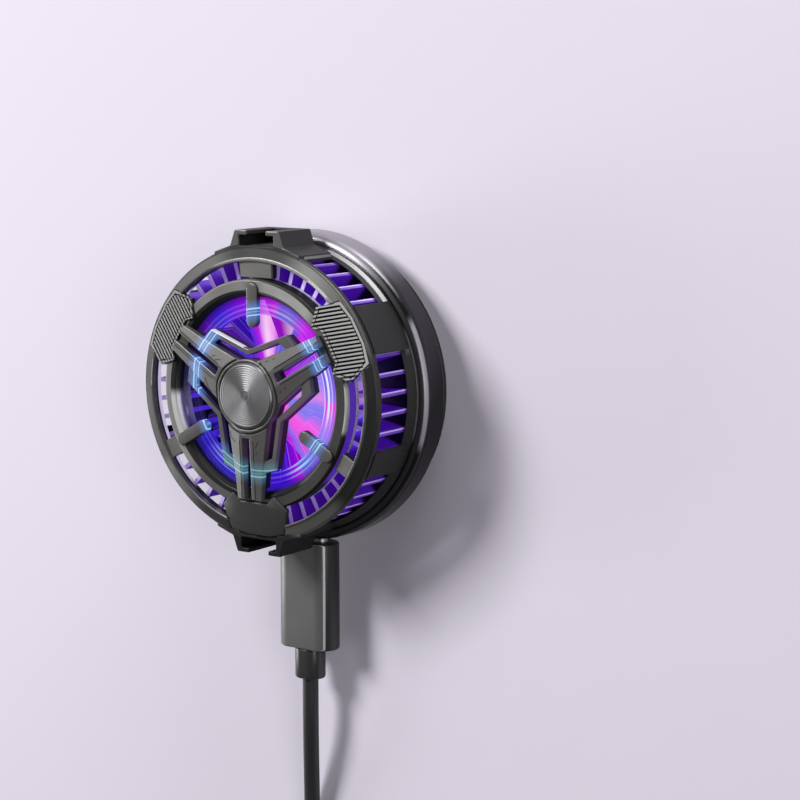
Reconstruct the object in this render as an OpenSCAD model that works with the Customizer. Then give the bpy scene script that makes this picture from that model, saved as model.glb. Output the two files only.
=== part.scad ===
// Phone cooling fan: a round magnetic cooler with a lit fan in a fin ring, and its USB lead.
// The phone face lies at z = 0, the fan's axis is Z, and the USB-C plug leaves along -Y.

/* [Base] */
// Diameter of the base across its widest band
base_d = 60; // [58:0.2:62]
// How far the phone face stands in from the widest band
face_in = 2; // [1.8:0.1:2.2]
// Thickness of the base's outer wall
base_wall = 1.8; // [1.6:0.1:2]
// Radius of the base's rounded shoulder
bead_r = 2; // [1.8:0.1:2.2]
// Thickness of the silicone contact pad
pad_t = 0.8; // [0.6:0.1:1]
// Number of magnets in the ring
magnet_count = 18; // [12:1:20]
// Radial width of the magnet ring
magnet_w = 4.5; // [4:0.1:4.8]
// Thickness of a magnet
magnet_t = 1.8; // [1.5:0.1:2]
// Side of the square thermoelectric module
module_w = 22; // [20:1:24]
// Thickness of the thermoelectric module
module_t = 2.6; // [2.4:0.1:2.8]

/* [Heat sink] */
// Number of radial fins
fin_count = 45; // [36:9:45]
// Thickness of a fin
fin_t = 0.8; // [0.6:0.1:1]
// Length of a fin along the radius
fin_l = 7.5; // [7:0.1:8]
// Height of a fin over the disc that carries it
fin_h = 9.6; // [9:0.1:10]
// Thickness of the disc that carries the fins
disc_t = 1.6; // [1.4:0.1:1.8]

/* [Fan] */
// Number of fan blades
blade_count = 7; // [5:1:9]
// Gap between the blade tips and the fins
fan_gap = 1.5; // [1.2:0.1:2]
// Thickness of a blade
blade_t = 0.8; // [0.6:0.1:1]
// Diameter of the motor shaft
shaft_d = 2; // [1.8:0.1:2.2]

/* [Front] */
// How far the front ring stands in from the base's widest band
ring_in = 2.2; // [2:0.1:2.4]
// Width of the front ring
ring_w = 2.7; // [2.5:0.1:2.9]
// Width of the slot between the two rings
slot_w = 3.3; // [3:0.1:3.6]
// Width of the inner ring
inner_w = 3.3; // [3:0.1:3.6]
// Height of the badge's face over the back of the front ring
front_h = 5.5; // [5.2:0.1:5.8]
// Diameter of the hub badge
badge_d = 12.6; // [11.6:0.1:13]
// Spacing of the ribs on the two grip pads
rib_pitch = 0.72; // [0.6:0.02:1]
// Fall of the pads' faces towards the rim, in degrees
pad_tilt = 11.6; // [10:0.2:13]

/* [Lead] */
// Diameter of the cord
cord_d = 3.2; // [3:0.1:3.3]
// Width of the USB-C plug's grip
plug_w = 12.8; // [12.4:0.2:13.4]
// Thickness of the USB-C plug's grip
plug_t = 6.6; // [6.2:0.1:7]
// Length of the USB-C plug's grip
plug_l = 21.4; // [20:0.2:22]
// Length of the strain relief behind it
relief_l = 6.2; // [5:0.2:7]

/* [Hidden] */
$fn = 96;
// clearances between pieces
gap = 0.1;
run_gap = 0.03;
usb_gap = 0.055;
// thin stock
board_t = 0.8;
yoke_t = 0.6;
skin = 0.4;
// heights of the stack, from the phone face up
flange_t = 1.4;
block_h = 3.2;
cold_top = pad_t + flange_t;
sink_z = cold_top + module_t;
disc_z = sink_z + block_h;
disc_top = disc_z + disc_t;
base_top = disc_top + 2 * gap;
fin_top = disc_top + fin_h;
led_z = fin_top + skin;
ring_z = led_z + board_t;
ring_t = 2.6;
face_z = ring_z + 2.8;
total_h = ring_z + front_h;
magnet_top = pad_t + magnet_t;
yoke_top = magnet_top + yoke_t;
shelf_z = yoke_top + skin;
// radii of the base, from the widest band inwards
base_r = base_d / 2;
face_r = base_r - face_in;
cavity_r = base_r - base_wall;
magnet_ro = face_r - 2 * skin;
magnet_ri = magnet_ro - magnet_w;
well_r = magnet_ri - 2.1;
flange_r = well_r - 3.6;
cold_r = flange_r - face_in;
shoulder_r = base_r - bead_r;
cover_r = shoulder_r - 1.2;
// radii of the fin ring and the frame's posts
disc_r = cover_r - 2 * gap;
fin_r_out = disc_r - 2 * gap;
fin_r_in = fin_r_out - fin_l;
post_ri = fin_r_out + 5 * gap;
post_ro = shoulder_r;
fin_first = 3;
fin_step = 360 / fin_count;
// the sink's screws stand midway between fins
screw_r = (fin_r_in + fin_r_out) / 2 + 1.35;
screw_a = [for (a = [31, 95, 151]) fin_first + (floor((a - fin_first) / fin_step) + 0.5) * fin_step];
thread_r = 0.7;
boss_r = thread_r + 1.1;
// radii of the front
ring_r = base_r - ring_in;
slot_r = ring_r - ring_w;
inner_r = slot_r - slot_w;
mouth_r = inner_r - inner_w;
badge_r = badge_d / 2;
// where the posts start and end around the frame
post_spans = [[19.4, 39.5], [73, 107], [140.5, 160.6], [199, 210], [253, 287], [330, 341]];
// fan motor, from the shaft outwards and from its base up
fan_r = fin_r_in - fan_gap;
shaft_r = shaft_d / 2;
sleeve_r = shaft_r + 1.4;
tube_r = sleeve_r + 0.9;
core_r = tube_r + 1.1;
stator_r = core_r + 2;
shoe_t = 0.8;
tooth_w = 1.6;
coil_t = 0.9;
rotor_ri = stator_r + skin;
rotor_ro = rotor_ri + 1;
cup_ri = rotor_ro + 0.5;
cup_ro = cup_ri + 0.9;
motor_z = disc_top + 0.8;
core_z0 = motor_z + 1.8;
core_z1 = core_z0 + 2.8;
wire_t = 0.6;
tube_top = core_z1 + 0.9;
cup_z = tube_top + 0.3;
cup_top = cup_z + 1.2;
blade_z0 = motor_z + board_t;
blade_z1 = cup_top - skin;
camber_r = 11;
// light ring and the bars over it
light_ri = mouth_r - 3.5;
light_t = 0.9;
peg_w = 2.4;
peg_z = ring_z + 2;
peg_t = 1.4;
peg_in = mouth_r - 4.6;
peg_out = inner_r - 1.9;
// spider
spider_z = ring_z + 1.8;
spine_z = total_h - 0.15;
rail_z = total_h - 1.1;
badge_z = total_h - 1.3;
hub_r = badge_r + 0.6;
hub_top = total_h - 0.45;
chevron_r = hub_r + 1.75;
rail_w = 0.95;
arm_end = inner_r - 2.1;
arm_fall = 3.4;
spine_slot = 1.7;
slot_side = 0.15;
// pads: their outer edge, the height of that edge, and their stock
pad_o = ring_r - 0.7;
pad_z = ring_z + 1.9;
grip_t = 1.1;
rib_h = 0.5;
rib_a = -19;
rim_w = 0.45;
// tabs
tab_w = 10.2;
tab_z = ring_z - 8.4;
tab_top = ring_z + ring_t - 0.8;
tab_y = ring_r + 2.9;
tslot_w = 8.2;
tslot_neck = 4.6;
tslot_y = ring_r;
lip_t = 0.9;
// USB-C sizes of the standard
usb_w = 8.25;
usb_t = 2.4;
usb_wall = 0.29;
shell_w = usb_w + 2 * (usb_gap + usb_wall);
shell_t = usb_t + 2 * (usb_gap + usb_wall);
tongue_w = 6.7;
tongue_t = 0.7;
port_z = shelf_z + board_t + shell_t / 2 + gap / 2;
port_y = base_r - 2 * gap;
port_l = 7.2;
board_z = shelf_z;
plug_y = -base_r - 0.6;
relief_y = plug_y - plug_l;
cord_y = relief_y - relief_l;
// cord route: down to the floor, into the coil, and over the coil to the plug that lies on it
cord_r = cord_d / 2;
floor_z = cord_r + 0.05;
pitch = cord_d + 0.5;
end_l = 4;
drift = 3;
coil_n = 4;
coil_ro = 27;
coil_x = coil_ro - drift;
coil_y = -118;
coil_rise = 7.15;
coil_turns = 7 + 5 / 12;
coil_top = floor_z + pitch + cord_r;
tail_r = 12;
// USB-A plug
usb_a_relief_l = 5;
usb_a_l = 18;
usb_a_w = 12;
usb_a_t = 4.5;
usb_a_out = 12;
usb_a_wall = 0.3;
grip_w = usb_a_w + 3.4;
grip_h = usb_a_t + 3.5;
usb_a_z = coil_top + grip_h / 2 + gap / 2;

module tube(ro, ri, z0, z1) {
    translate([0, 0, z0]) difference() {
        cylinder(r = ro, h = z1 - z0);
        translate([0, 0, -1]) cylinder(r = ri, h = z1 - z0 + 2);
    }
}

module disc(r, z0, z1) {
    translate([0, 0, z0]) cylinder(r = r, h = z1 - z0);
}

module box(x0, x1, y0, y1, z0, z1) {
    translate([x0, y0, z0]) cube([x1 - x0, y1 - y0, z1 - z0]);
}

module around(n, first = 0) {
    for (i = [0 : n - 1]) rotate(first + i * 360 / n) children();
}

// a pie slice of the whole height that spans a0 to a1 degrees
module slice(a0, a1) {
    m = (a0 + a1) / 2;
    r = base_d;
    linear_extrude(base_d)
        polygon([[0, 0], [r * cos(a0), r * sin(a0)], [1.15 * r * cos(m), 1.15 * r * sin(m)],
            [r * cos(a1), r * sin(a1)]]);
}

// a flat-sided oval in the XZ plane, from y0 down to y1
module oval(w, t, y0, y1, z) {
    translate([0, y0, z]) rotate([90, 0, 0]) linear_extrude(y0 - y1) {
        square([w - t, t], center = true);
        translate([(t - w) / 2, 0]) circle(d = t);
        translate([(w - t) / 2, 0]) circle(d = t);
    }
}

module contact_pad() {
    color([0.05, 0.05, 0.06]) tube(face_r, cold_r + gap, 0, pad_t);
}

module cold_plate() {
    color([0.8, 0.8, 0.82]) {
        disc(cold_r, 0, pad_t);
        disc(flange_r, pad_t, cold_top);
    }
}

module magnets() {
    step = 360 / magnet_count;
    color([0.7, 0.7, 0.72]) around(magnet_count) intersection() {
        tube(magnet_ro - gap, magnet_ri + gap, pad_t, magnet_top);
        slice(0.5, step - 0.5);
    }
}

module yoke_ring() {
    color([0.55, 0.55, 0.57]) tube(magnet_ro - gap, magnet_ri + gap, magnet_top, yoke_top);
}

module base_shell() {
    color([0.1, 0.1, 0.11]) difference() {
        union() {
            rotate_extrude() {
                polygon([[well_r, pad_t], [face_r, pad_t], [base_r, shelf_z + skin], [base_r, base_top - bead_r],
                    [shoulder_r, base_top - bead_r], [shoulder_r, base_top], [cover_r, base_top],
                    [cover_r, disc_z], [cavity_r, disc_z], [cavity_r, shelf_z], [well_r, shelf_z]]);
                intersection() {
                    translate([shoulder_r, base_top - bead_r]) circle(r = bead_r);
                    translate([shoulder_r, base_top - bead_r]) square(bead_r + 1);
                }
            }
            for (a = screw_a) rotate(a) translate([screw_r, 0, 0]) disc(boss_r, shelf_z, disc_z);
        }
        // pocket for the magnets and their yoke, and the groove round the frame's collar
        tube(magnet_ro, magnet_ri, 0, yoke_top);
        tube(shoulder_r + skin, shoulder_r + gap / 2, base_top - skin, base_top + 1);
        for (a = screw_a) rotate(a) translate([screw_r, 0, 0]) disc(thread_r, shelf_z + 1, disc_top);
        oval(shell_w + 2 * gap, shell_t + 2 * gap, 5 - base_r, -base_r - 2, port_z);
    }
}

module peltier_module() {
    w = module_w / 2;
    color([0.92, 0.92, 0.9]) box(-w, w, -w, w, cold_top, sink_z);
}

module insulation_frame() {
    w = module_w / 2 + gap;
    color([0.25, 0.25, 0.26]) difference() {
        disc(well_r - gap, pad_t, sink_z);
        disc(flange_r + gap, 0, cold_top);
        box(-w, w, -w, w, 0, disc_z);
    }
}

module heat_sink() {
    color([0.28, 0.12, 0.6]) difference() {
        union() {
            disc(well_r + 2 * gap, sink_z, disc_z);
            disc(disc_r, disc_z, disc_top);
            around(fin_count, fin_first) box(fin_r_in, fin_r_out, -fin_t / 2, fin_t / 2, disc_z + gap, fin_top);
        }
        for (a = screw_a) rotate(a) translate([screw_r, 0, 0]) disc(thread_r + gap, disc_z - 1, disc_top + 1);
    }
}

module sink_screws() {
    head_r = thread_r + 0.4;
    head_t = 0.8;
    cross_w = 0.3;
    z = disc_top + head_t / 2;
    color([0.6, 0.6, 0.62]) for (a = screw_a) rotate(a) translate([screw_r, 0, 0]) difference() {
        union() {
            disc(thread_r, shelf_z + 1.4, disc_top);
            disc(head_r, disc_top, disc_top + head_t);
        }
        for (t = [0, 90]) rotate(t)
            box(-cross_w / 2, cross_w / 2, -thread_r, thread_r, z, z + head_t);
    }
}

module control_board() {
    color([0.05, 0.3, 0.15]) intersection() {
        tube(cavity_r - 0.6, well_r + 0.6, board_z, board_z + board_t);
        slice(215, 325);
    }
}

module usb_c_receptacle() {
    back = port_l - port_y;
    color([0.75, 0.75, 0.77]) difference() {
        oval(shell_w, shell_t, back, -port_y, port_z);
        oval(usb_w + 2 * usb_gap, usb_t + 2 * usb_gap, back - 0.5, -port_y - 1, port_z);
    }
}

module usb_c_tongue() {
    back = port_l - port_y - 0.5;
    color([0.08, 0.08, 0.08]) box(-tongue_w / 2, tongue_w / 2, 0.9 - port_y, back,
        port_z - tongue_t / 2, port_z + tongue_t / 2);
}

module fan_base() {
    color([0.08, 0.08, 0.09]) difference() {
        union() {
            disc(cup_ro + 0.3, disc_top, motor_z);
            disc(tube_r, motor_z, tube_top);
        }
        disc(sleeve_r, disc_top + 0.5, tube_top + 1);
    }
}

module motor_board() {
    color([0.05, 0.3, 0.15]) tube(cup_ri - 0.3, tube_r + gap, motor_z, motor_z + board_t);
}

module stator_core() {
    color([0.5, 0.5, 0.52]) {
        tube(core_r, tube_r, core_z0, core_z1);
        around(4, 45) box(core_r - gap, stator_r - gap, -tooth_w / 2, tooth_w / 2, core_z0, core_z1);
        around(4, 45) intersection() {
            tube(stator_r, stator_r - shoe_t, core_z0, core_z1);
            slice(-34, 34);
        }
    }
}

module stator_coils() {
    w = tooth_w / 2;
    x0 = core_r + gap;
    color([0.72, 0.4, 0.18]) around(4, 45) difference() {
        box(x0, x0 + wire_t, -w - coil_t, w + coil_t, core_z0 - wire_t, core_z1 + wire_t);
        box(x0 - 1, x0 + 2, -w, w, core_z0, core_z1);
    }
}

module bearing_sleeve() {
    color([0.72, 0.55, 0.25]) tube(sleeve_r, shaft_r + run_gap, motor_z + 0.9, tube_top);
}

module shaft() {
    color([0.8, 0.8, 0.82]) disc(shaft_r, motor_z, cup_top);
}

module shaft_clip() {
    color([0.5, 0.5, 0.5]) tube(shaft_r + 0.8, shaft_r, motor_z + 0.35, motor_z + 0.6);
}

// a blade along +X: a slice of a lying tube, so that it is cambered
module blade() {
    intersection() {
        tube(fan_r, cup_ro - 2 * gap, blade_z0, blade_z1);
        box(cup_ro - 1.5, fan_r + 1, -5.2, 5.2, blade_z0, blade_z1);
        translate([0, -camber_r / 2, blade_z0 - 5.1]) rotate([0, 90, 0])
            tube(camber_r + blade_t / 2, camber_r - blade_t / 2, 0, base_r);
    }
}

module impeller() {
    color([0.75, 0.72, 0.85]) {
        tube(cup_ro, cup_ri, core_z0 - 0.5, cup_z);
        tube(cup_ro, shaft_r, cup_z, cup_top);
        around(blade_count, 12) blade();
    }
}

module rotor_yoke() {
    color([0.5, 0.5, 0.52]) tube(cup_ri, rotor_ro, core_z0 - skin, cup_z);
}

module rotor_magnet() {
    color([0.2, 0.2, 0.21]) tube(rotor_ro, rotor_ri, core_z0 - 0.3, tube_top);
}

// a tab with a T-slot, at the frame's top or foot
module tab() {
    w = tab_w / 2;
    difference() {
        translate([0, 0, tab_z]) linear_extrude(tab_top - tab_z)
            polygon([[-w - 4.8, slot_r], [-w - 4.8, ring_r - 1.4], [-w - 1.1, ring_r - gap], [-w, tab_y],
                [w, tab_y], [w + 1.1, ring_r - gap], [w + 4.8, ring_r - 1.4], [w + 4.8, slot_r]]);
        disc(post_ri, 0, total_h);
        box(-tslot_w / 2, tslot_w / 2, tslot_y, tab_y - lip_t, tab_z + 1.5, total_h);
        box(-tslot_neck / 2, tslot_neck / 2, tslot_y + 1, tab_y + 1, tab_z + 1.5, total_h);
    }
}

// the outline of a pad: six sides, with a notch for the arm's end; c widens it
module pad_shape(c = 0) {
    side = [[inner_r - 1.4 - c, 3.2], [inner_r - 3 - c, 4.8], [inner_r - 0.4 - c, 7.65 + c],
        [pad_o - 0.8 + c, 6.3 + c], [pad_o + c, 2.6]];
    polygon(concat(side, [for (i = [4 : -1 : 0]) [side[i][0], -side[i][1]]]));
}

// puts a flat piece on the tilted face of the pad at angle a
module on_pad(a) {
    rotate(a) translate([pad_o, 0, pad_z]) rotate([0, pad_tilt, 0]) translate([-pad_o, 0, 0]) children();
}

// room for the three pads
module pad_rooms() {
    for (a = [30, 150, 270]) on_pad(a) translate([0, 0, -grip_t]) linear_extrude(2 * grip_t) pad_shape(gap);
}

module front_frame() {
    z = ring_z + ring_t;
    collar_t = 1.8;
    color([0.13, 0.13, 0.14]) difference() {
        union() {
            rotate_extrude() polygon([[slot_r, ring_z], [ring_r - 0.5, ring_z], [ring_r, ring_z + 0.5],
                [ring_r, z - 1.1], [ring_r - skin, z - 0.8], [slot_r + 0.5, z - 0.3], [slot_r + skin, z],
                [slot_r, z]]);
            rotate_extrude() polygon([[post_ri, base_top], [post_ro, base_top], [post_ro, base_top + skin],
                [post_ri + gap, base_top + collar_t], [post_ri, base_top + collar_t]]);
            for (p = post_spans) intersection() {
                tube(post_ro, post_ri, base_top, ring_z + 0.6);
                slice(p[0], p[1]);
            }
            tab();
            rotate(180) tab();
            for (a = [30, 150, 270]) rotate(a) box(inner_r + gap, ring_r - 1.4, -5.5, 5.5, ring_z, face_z);
            rotate(90) box(inner_r + gap, slot_r + skin, -3.7, 3.7, ring_z + 0.2, z - 0.7);
            for (a = [210, 330]) rotate(a) box(inner_r + gap, slot_r + skin, -1.8, 1.8, ring_z + 0.2, z - 0.7);
        }
        disc(inner_r + gap, led_z - 1, total_h);
        pad_rooms();
    }
}

module inner_ring() {
    z = ring_z + light_t + gap;
    lip_r = inner_r - 0.9;
    color([0.14, 0.14, 0.15]) difference() {
        rotate_extrude() polygon([[mouth_r, z], [mouth_r, face_z - 0.8], [mouth_r + 0.7, face_z],
            [inner_r - 0.3, face_z], [inner_r, face_z - 0.3], [inner_r, ring_z], [lip_r, ring_z], [lip_r, z]]);
        for (a = [90, 210, 330]) rotate(a) peg(gap / 2);
        pad_rooms();
    }
}

module led_board() {
    color([0.9, 0.9, 0.9]) tube(inner_r - gap, mouth_r - 2 * gap, led_z, ring_z);
}

module leds() {
    color([0.95, 0.95, 0.8]) around(12, 15)
        box(mouth_r + 0.6, mouth_r + 2, -0.8, 0.8, ring_z, ring_z + light_t - 2 * gap);
}

module light_ring() {
    r = light_ri;
    z = ring_z + light_t;
    d = 2 * gap;
    color([0.7, 0.85, 0.95]) rotate_extrude() polygon(concat(
        [[r, z - d], [r, ring_z], [mouth_r + skin, ring_z], [mouth_r + skin, z]],
        [for (i = [2, 1]) each [[r + 1.2 * i + d, z], [r + 1.2 * i, z - d], [r + 1.2 * i - d, z]]],
        [[r + d, z]]));
}

// a round-ended bar that points at the hub; c widens it for its seat
module peg(c = 0) {
    w = peg_w / 2 + c;
    box(peg_in, peg_out, -w, w, peg_z, peg_z + peg_t);
    for (r = [peg_in, peg_out]) translate([r, 0, 0]) disc(w, peg_z, peg_z + peg_t);
}

module pegs() {
    color([0.16, 0.16, 0.17]) for (a = [90, 210, 330]) rotate(a) peg();
}

// turns a piece whose face is z = 0 onto the arm's face, which falls away from the hub
module on_arm() {
    translate([hub_r, 0, spine_z]) rotate([0, arm_fall, 0]) children();
}

// half a chevron beside an arm: a rail, and the bar that ties it to the arm
module wing(s) {
    a = 60.5;
    out = [arm_end - 6.1, 5.95];
    pts = [chevron_r * [cos(a), sin(a)], out, out + [0.9, -2.6], out + [-1.2, -2.6], out + [-2.2, -0.6],
        (chevron_r - rail_w) * [cos(a), sin(a)]];
    translate([0, 0, spider_z]) linear_extrude(rail_z - spider_z) polygon([for (p = pts) [p[0], s * p[1]]]);
}

// one arm of the front spider, along +X
module arm() {
    half_end = 2.8;
    half_mid = 3.3;
    half_hub = 5;
    spine_half = 1.6;
    roof_half = 6;
    roof_fall = 0.9;
    depth = 2 * front_h;
    slot_v = spine_slot / 2 - slot_side;
    difference() {
        union() {
            intersection() {
                translate([0, 0, spider_z]) linear_extrude(front_h)
                    polygon([[3, -half_hub], [arm_end - 5.2, -half_mid], [arm_end, -half_end], [arm_end, half_end],
                        [arm_end - 5.2, half_mid], [3, half_hub]]);
                on_arm() translate([-hub_r, 0, 0]) rotate([90, 0, 90]) linear_extrude(base_r)
                    polygon([[-roof_half, -depth], [roof_half, -depth], [roof_half, -roof_fall], [spine_half, 0],
                        [-spine_half, 0], [-roof_half, -roof_fall]]);
            }
            wing(-1);
            wing(1);
        }
        // slot through the arm, which ends as a groove over the inner ring
        box(hub_r + 1.1, mouth_r - 0.9, slot_v - spine_slot, slot_v, 0, total_h);
        box(hub_r + 1.1, arm_end + 1, slot_v - spine_slot, slot_v, face_z + 0.5, total_h);
        // score lines beside the spine
        for (s = [-1, 1]) on_arm() translate([1.6, s * spine_half - gap, -0.25]) cube([base_r, 2 * gap, 1]);
        // the arm's end stands on the inner ring
        box(mouth_r - 0.9, arm_end + 1, -roof_half, roof_half, 0, face_z);
    }
}

module spider() {
    color([0.15, 0.15, 0.16]) difference() {
        union() {
            disc(hub_r, spider_z, hub_top);
            for (a = [30, 150, 270]) rotate(a) arm();
        }
        tube(hub_r + 0.35, hub_r, total_h - 1, total_h + 1);
        disc(badge_r + gap, badge_z, total_h + 1);
    }
}

module badge() {
    bevel = 0.4;
    color([0.6, 0.6, 0.62]) rotate_extrude() polygon([[0, badge_z], [badge_r, badge_z], [badge_r, total_h - bevel],
        [badge_r - bevel, total_h], [0, total_h]]);
}

module grip_pads() {
    mid = (inner_r + ring_r) / 2 - 1.5;
    rib_n = ceil(10 / rib_pitch);
    rib_w = rib_pitch / 2;
    color([0.2, 0.2, 0.21]) for (a = [30, 150]) on_pad(a) translate([0, 0, -grip_t]) {
        linear_extrude(grip_t - rib_h) pad_shape();
        difference() {
            linear_extrude(grip_t) pad_shape();
            translate([0, 0, -1]) linear_extrude(grip_t + 2) pad_shape(-rim_w);
        }
        intersection() {
            linear_extrude(grip_t) pad_shape(-rim_w - 0.2);
            for (i = [-rib_n : rib_n]) translate([mid, 0, 0]) rotate(rib_a)
                translate([-base_r / 2, i * rib_pitch - rib_w / 2, 0]) cube([base_r, rib_w, base_r]);
        }
    }
}

module lower_pad() {
    color([0.14, 0.14, 0.15]) on_pad(270) translate([0, 0, -grip_t]) linear_extrude(grip_t - gap) pad_shape();
}

module usb_c_plug_shell() {
    wall = 0.4;
    nose = port_l - port_y - 1.4;
    color([0.78, 0.78, 0.8]) difference() {
        oval(usb_w, usb_t, nose, plug_y, port_z);
        oval(usb_w - 2 * wall, usb_t - 2 * wall, nose + 1, plug_y + 0.7, port_z);
    }
}

module usb_c_overmould() {
    color([0.16, 0.16, 0.17]) oval(plug_w, plug_t, plug_y, relief_y, port_z);
}

module strain_relief() {
    color([0.12, 0.12, 0.13]) oval(cord_d + 3, cord_d + 2, relief_y, cord_y, port_z);
}

// tube along a list of points: cross-sections of n sides that stay square to the route
function unit(v) = v / norm(v);
function tangent(p, i) = unit(p[min(i + 1, len(p) - 1)] - p[max(i - 1, 0)]);
function sweep(p, r, n) = [for (i = [0 : len(p) - 1]) let (
        t = tangent(p, i), a = unit(cross(t, [0, 0, 1])), b = cross(a, t)
    ) for (k = [0 : n - 1]) p[i] + r * (a * cos(360 * (k + 0.5) / n) + b * sin(360 * (k + 0.5) / n))];

module cord(p, r, n) {
    m = len(p);
    polyhedron(points = sweep(p, r, n), faces = concat(
        [[for (k = [0 : n - 1]) k]],
        [[for (k = [n - 1 : -1 : 0]) (m - 1) * n + k]],
        [for (i = [0 : m - 2], k = [0 : n - 1])
            [i * n + k, (i + 1) * n + k, (i + 1) * n + (k + 1) % n, i * n + (k + 1) % n]]
    ), convexity = 8);
}

// a smooth rise from 0 to 1 as s runs from 0 to 1
function ease(s) = let (c = min(1, max(0, s))) c * c * (3 - 2 * c);
function heading(a) = [cos(a), sin(a), 0];
lead_y = coil_y + end_l;
lead_pts = concat(
    [[0, cord_y, port_z], [0, cord_y - end_l, port_z]],
    [for (i = [1 : 12]) let (s = i / 12, fall = ease(1.5 * s))
        [-drift * fall, cord_y - end_l + s * (lead_y + 2 * end_l - cord_y), port_z + (floor_z - port_z) * fall]],
    [[-drift, lead_y, floor_z]]);
// the coil: it spirals in on the floor, climbs where it turns back, and spirals out on top
function coil_r(t) = coil_ro - pitch * (coil_n - abs(t - coil_n));
function coil_z(t) = floor_z + pitch * ease((t - coil_n) * 2 + 0.5)
    + pitch * ease((t - coil_rise) / (coil_turns - coil_rise));
function coil_at(t) = [coil_x, coil_y, coil_z(t)] + coil_r(t) * heading(180 + 360 * t);
coil_steps = round(24 * coil_turns);
off = 270 + 360 * coil_turns;
coil_tip = coil_at(coil_turns) + end_l * heading(off);
coil_pts = concat([[-drift, lead_y, floor_z]], [for (i = [0 : coil_steps]) coil_at(i / 24)], [coil_tip]);
// the tail turns over the coil until it points along -X
tail_turn = 180 - off % 360;
tail_hub = coil_tip + end_l * heading(off) + tail_r * heading(off + 90);
tail_end = [tail_hub[0] - end_l, tail_hub[1] + tail_r, usb_a_z];
tail_pts = concat(
    [coil_tip],
    [for (i = [0 : 8]) let (s = i / 8) tail_hub + tail_r * heading(off - 90 + s * tail_turn)
        + [0, 0, (usb_a_z - tail_hub[2]) * ease(s)]],
    [tail_end]);
// least gap of the coil to itself, between points more than a third of a turn apart
coil_gap = min([for (i = [1 : coil_steps], j = [i + 8 : 1 : coil_steps + 1]) norm(coil_pts[i] - coil_pts[j])]) - cord_d;
tail_gap = min([for (p = tail_pts, i = [1 : coil_steps - 8]) norm(coil_pts[i] - p)]) - cord_d;
function way(p) = [for (i = [1 : len(p) - 1]) norm(p[i] - p[i - 1])];
function total(v, i = 0) = i < len(v) ? v[i] + total(v, i + 1) : 0;
echo(coil_gap = coil_gap, tail_gap = tail_gap, tail_end = tail_end);
echo(cord_length = total(way(lead_pts)) + total(way(coil_pts)) + total(way(tail_pts)));

module cord_lead() {
    color([0.1, 0.1, 0.1]) cord(lead_pts, cord_r, 8);
}

module cord_coil() {
    color([0.1, 0.1, 0.1]) cord(coil_pts, cord_r, 6);
}

module cord_tail() {
    color([0.1, 0.1, 0.1]) cord(tail_pts, cord_r, 8);
}

// puts a piece whose axis is +X on the tail's end, pointing away from it
module on_tail() {
    translate(tail_end) rotate(180) children();
}

// a bar along +X with rounded edges
module round_bar(x0, x1, w, t, r) {
    translate([x0, 0, 0]) rotate([90, 0, 90]) linear_extrude(x1 - x0) {
        square([w - 2 * r, t], center = true);
        square([w, t - 2 * r], center = true);
        for (i = [-1, 1], j = [-1, 1]) translate([i * (w / 2 - r), j * (t / 2 - r)]) circle(r = r);
    }
}

module usb_a_relief() {
    color([0.12, 0.12, 0.13]) on_tail() rotate([0, 90, 0])
        cylinder(r1 = cord_r + 0.6, r2 = cord_r + 1.2, h = usb_a_relief_l);
}

module usb_a_overmould() {
    color([0.16, 0.16, 0.17]) on_tail()
        round_bar(usb_a_relief_l, usb_a_relief_l + usb_a_l, grip_w, grip_h, 2);
}

module usb_a_shell() {
    x = usb_a_relief_l + usb_a_l;
    y = usb_a_w / 2 - usb_a_wall;
    z = usb_a_t / 2 - usb_a_wall;
    color([0.78, 0.78, 0.8]) on_tail() difference() {
        round_bar(x, x + usb_a_out, usb_a_w, usb_a_t, skin);
        box(x + 0.6, x + usb_a_out + 1, -y, y, -z, z);
    }
}

module usb_a_tongue() {
    x = usb_a_relief_l + usb_a_l;
    y = usb_a_w / 2 - usb_a_wall - gap;
    z = usb_a_t / 2 - usb_a_wall;
    color([0.85, 0.85, 0.87]) on_tail() box(x + 0.6, x + usb_a_out - 0.5, -y, y, 0, z);
}

contact_pad();
cold_plate();
magnets();
yoke_ring();
base_shell();
peltier_module();
insulation_frame();
heat_sink();
sink_screws();
control_board();
usb_c_receptacle();
usb_c_tongue();
fan_base();
motor_board();
stator_core();
stator_coils();
bearing_sleeve();
shaft();
shaft_clip();
impeller();
rotor_yoke();
rotor_magnet();
front_frame();
inner_ring();
led_board();
leds();
light_ring();
pegs();
spider();
badge();
grip_pads();
lower_pad();
usb_c_plug_shell();
usb_c_overmould();
strain_relief();
cord_lead();
cord_coil();
cord_tail();
usb_a_relief();
usb_a_overmould();
usb_a_shell();
usb_a_tongue();
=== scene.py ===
"""Looks of a round magnetic cooler with a lit fan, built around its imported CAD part."""

import logging
import math
from dataclasses import dataclass, field
from enum import Enum
from functools import lru_cache
from typing import Sequence, Union

import bmesh
import bpy
from mathutils import Matrix, Vector


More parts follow.
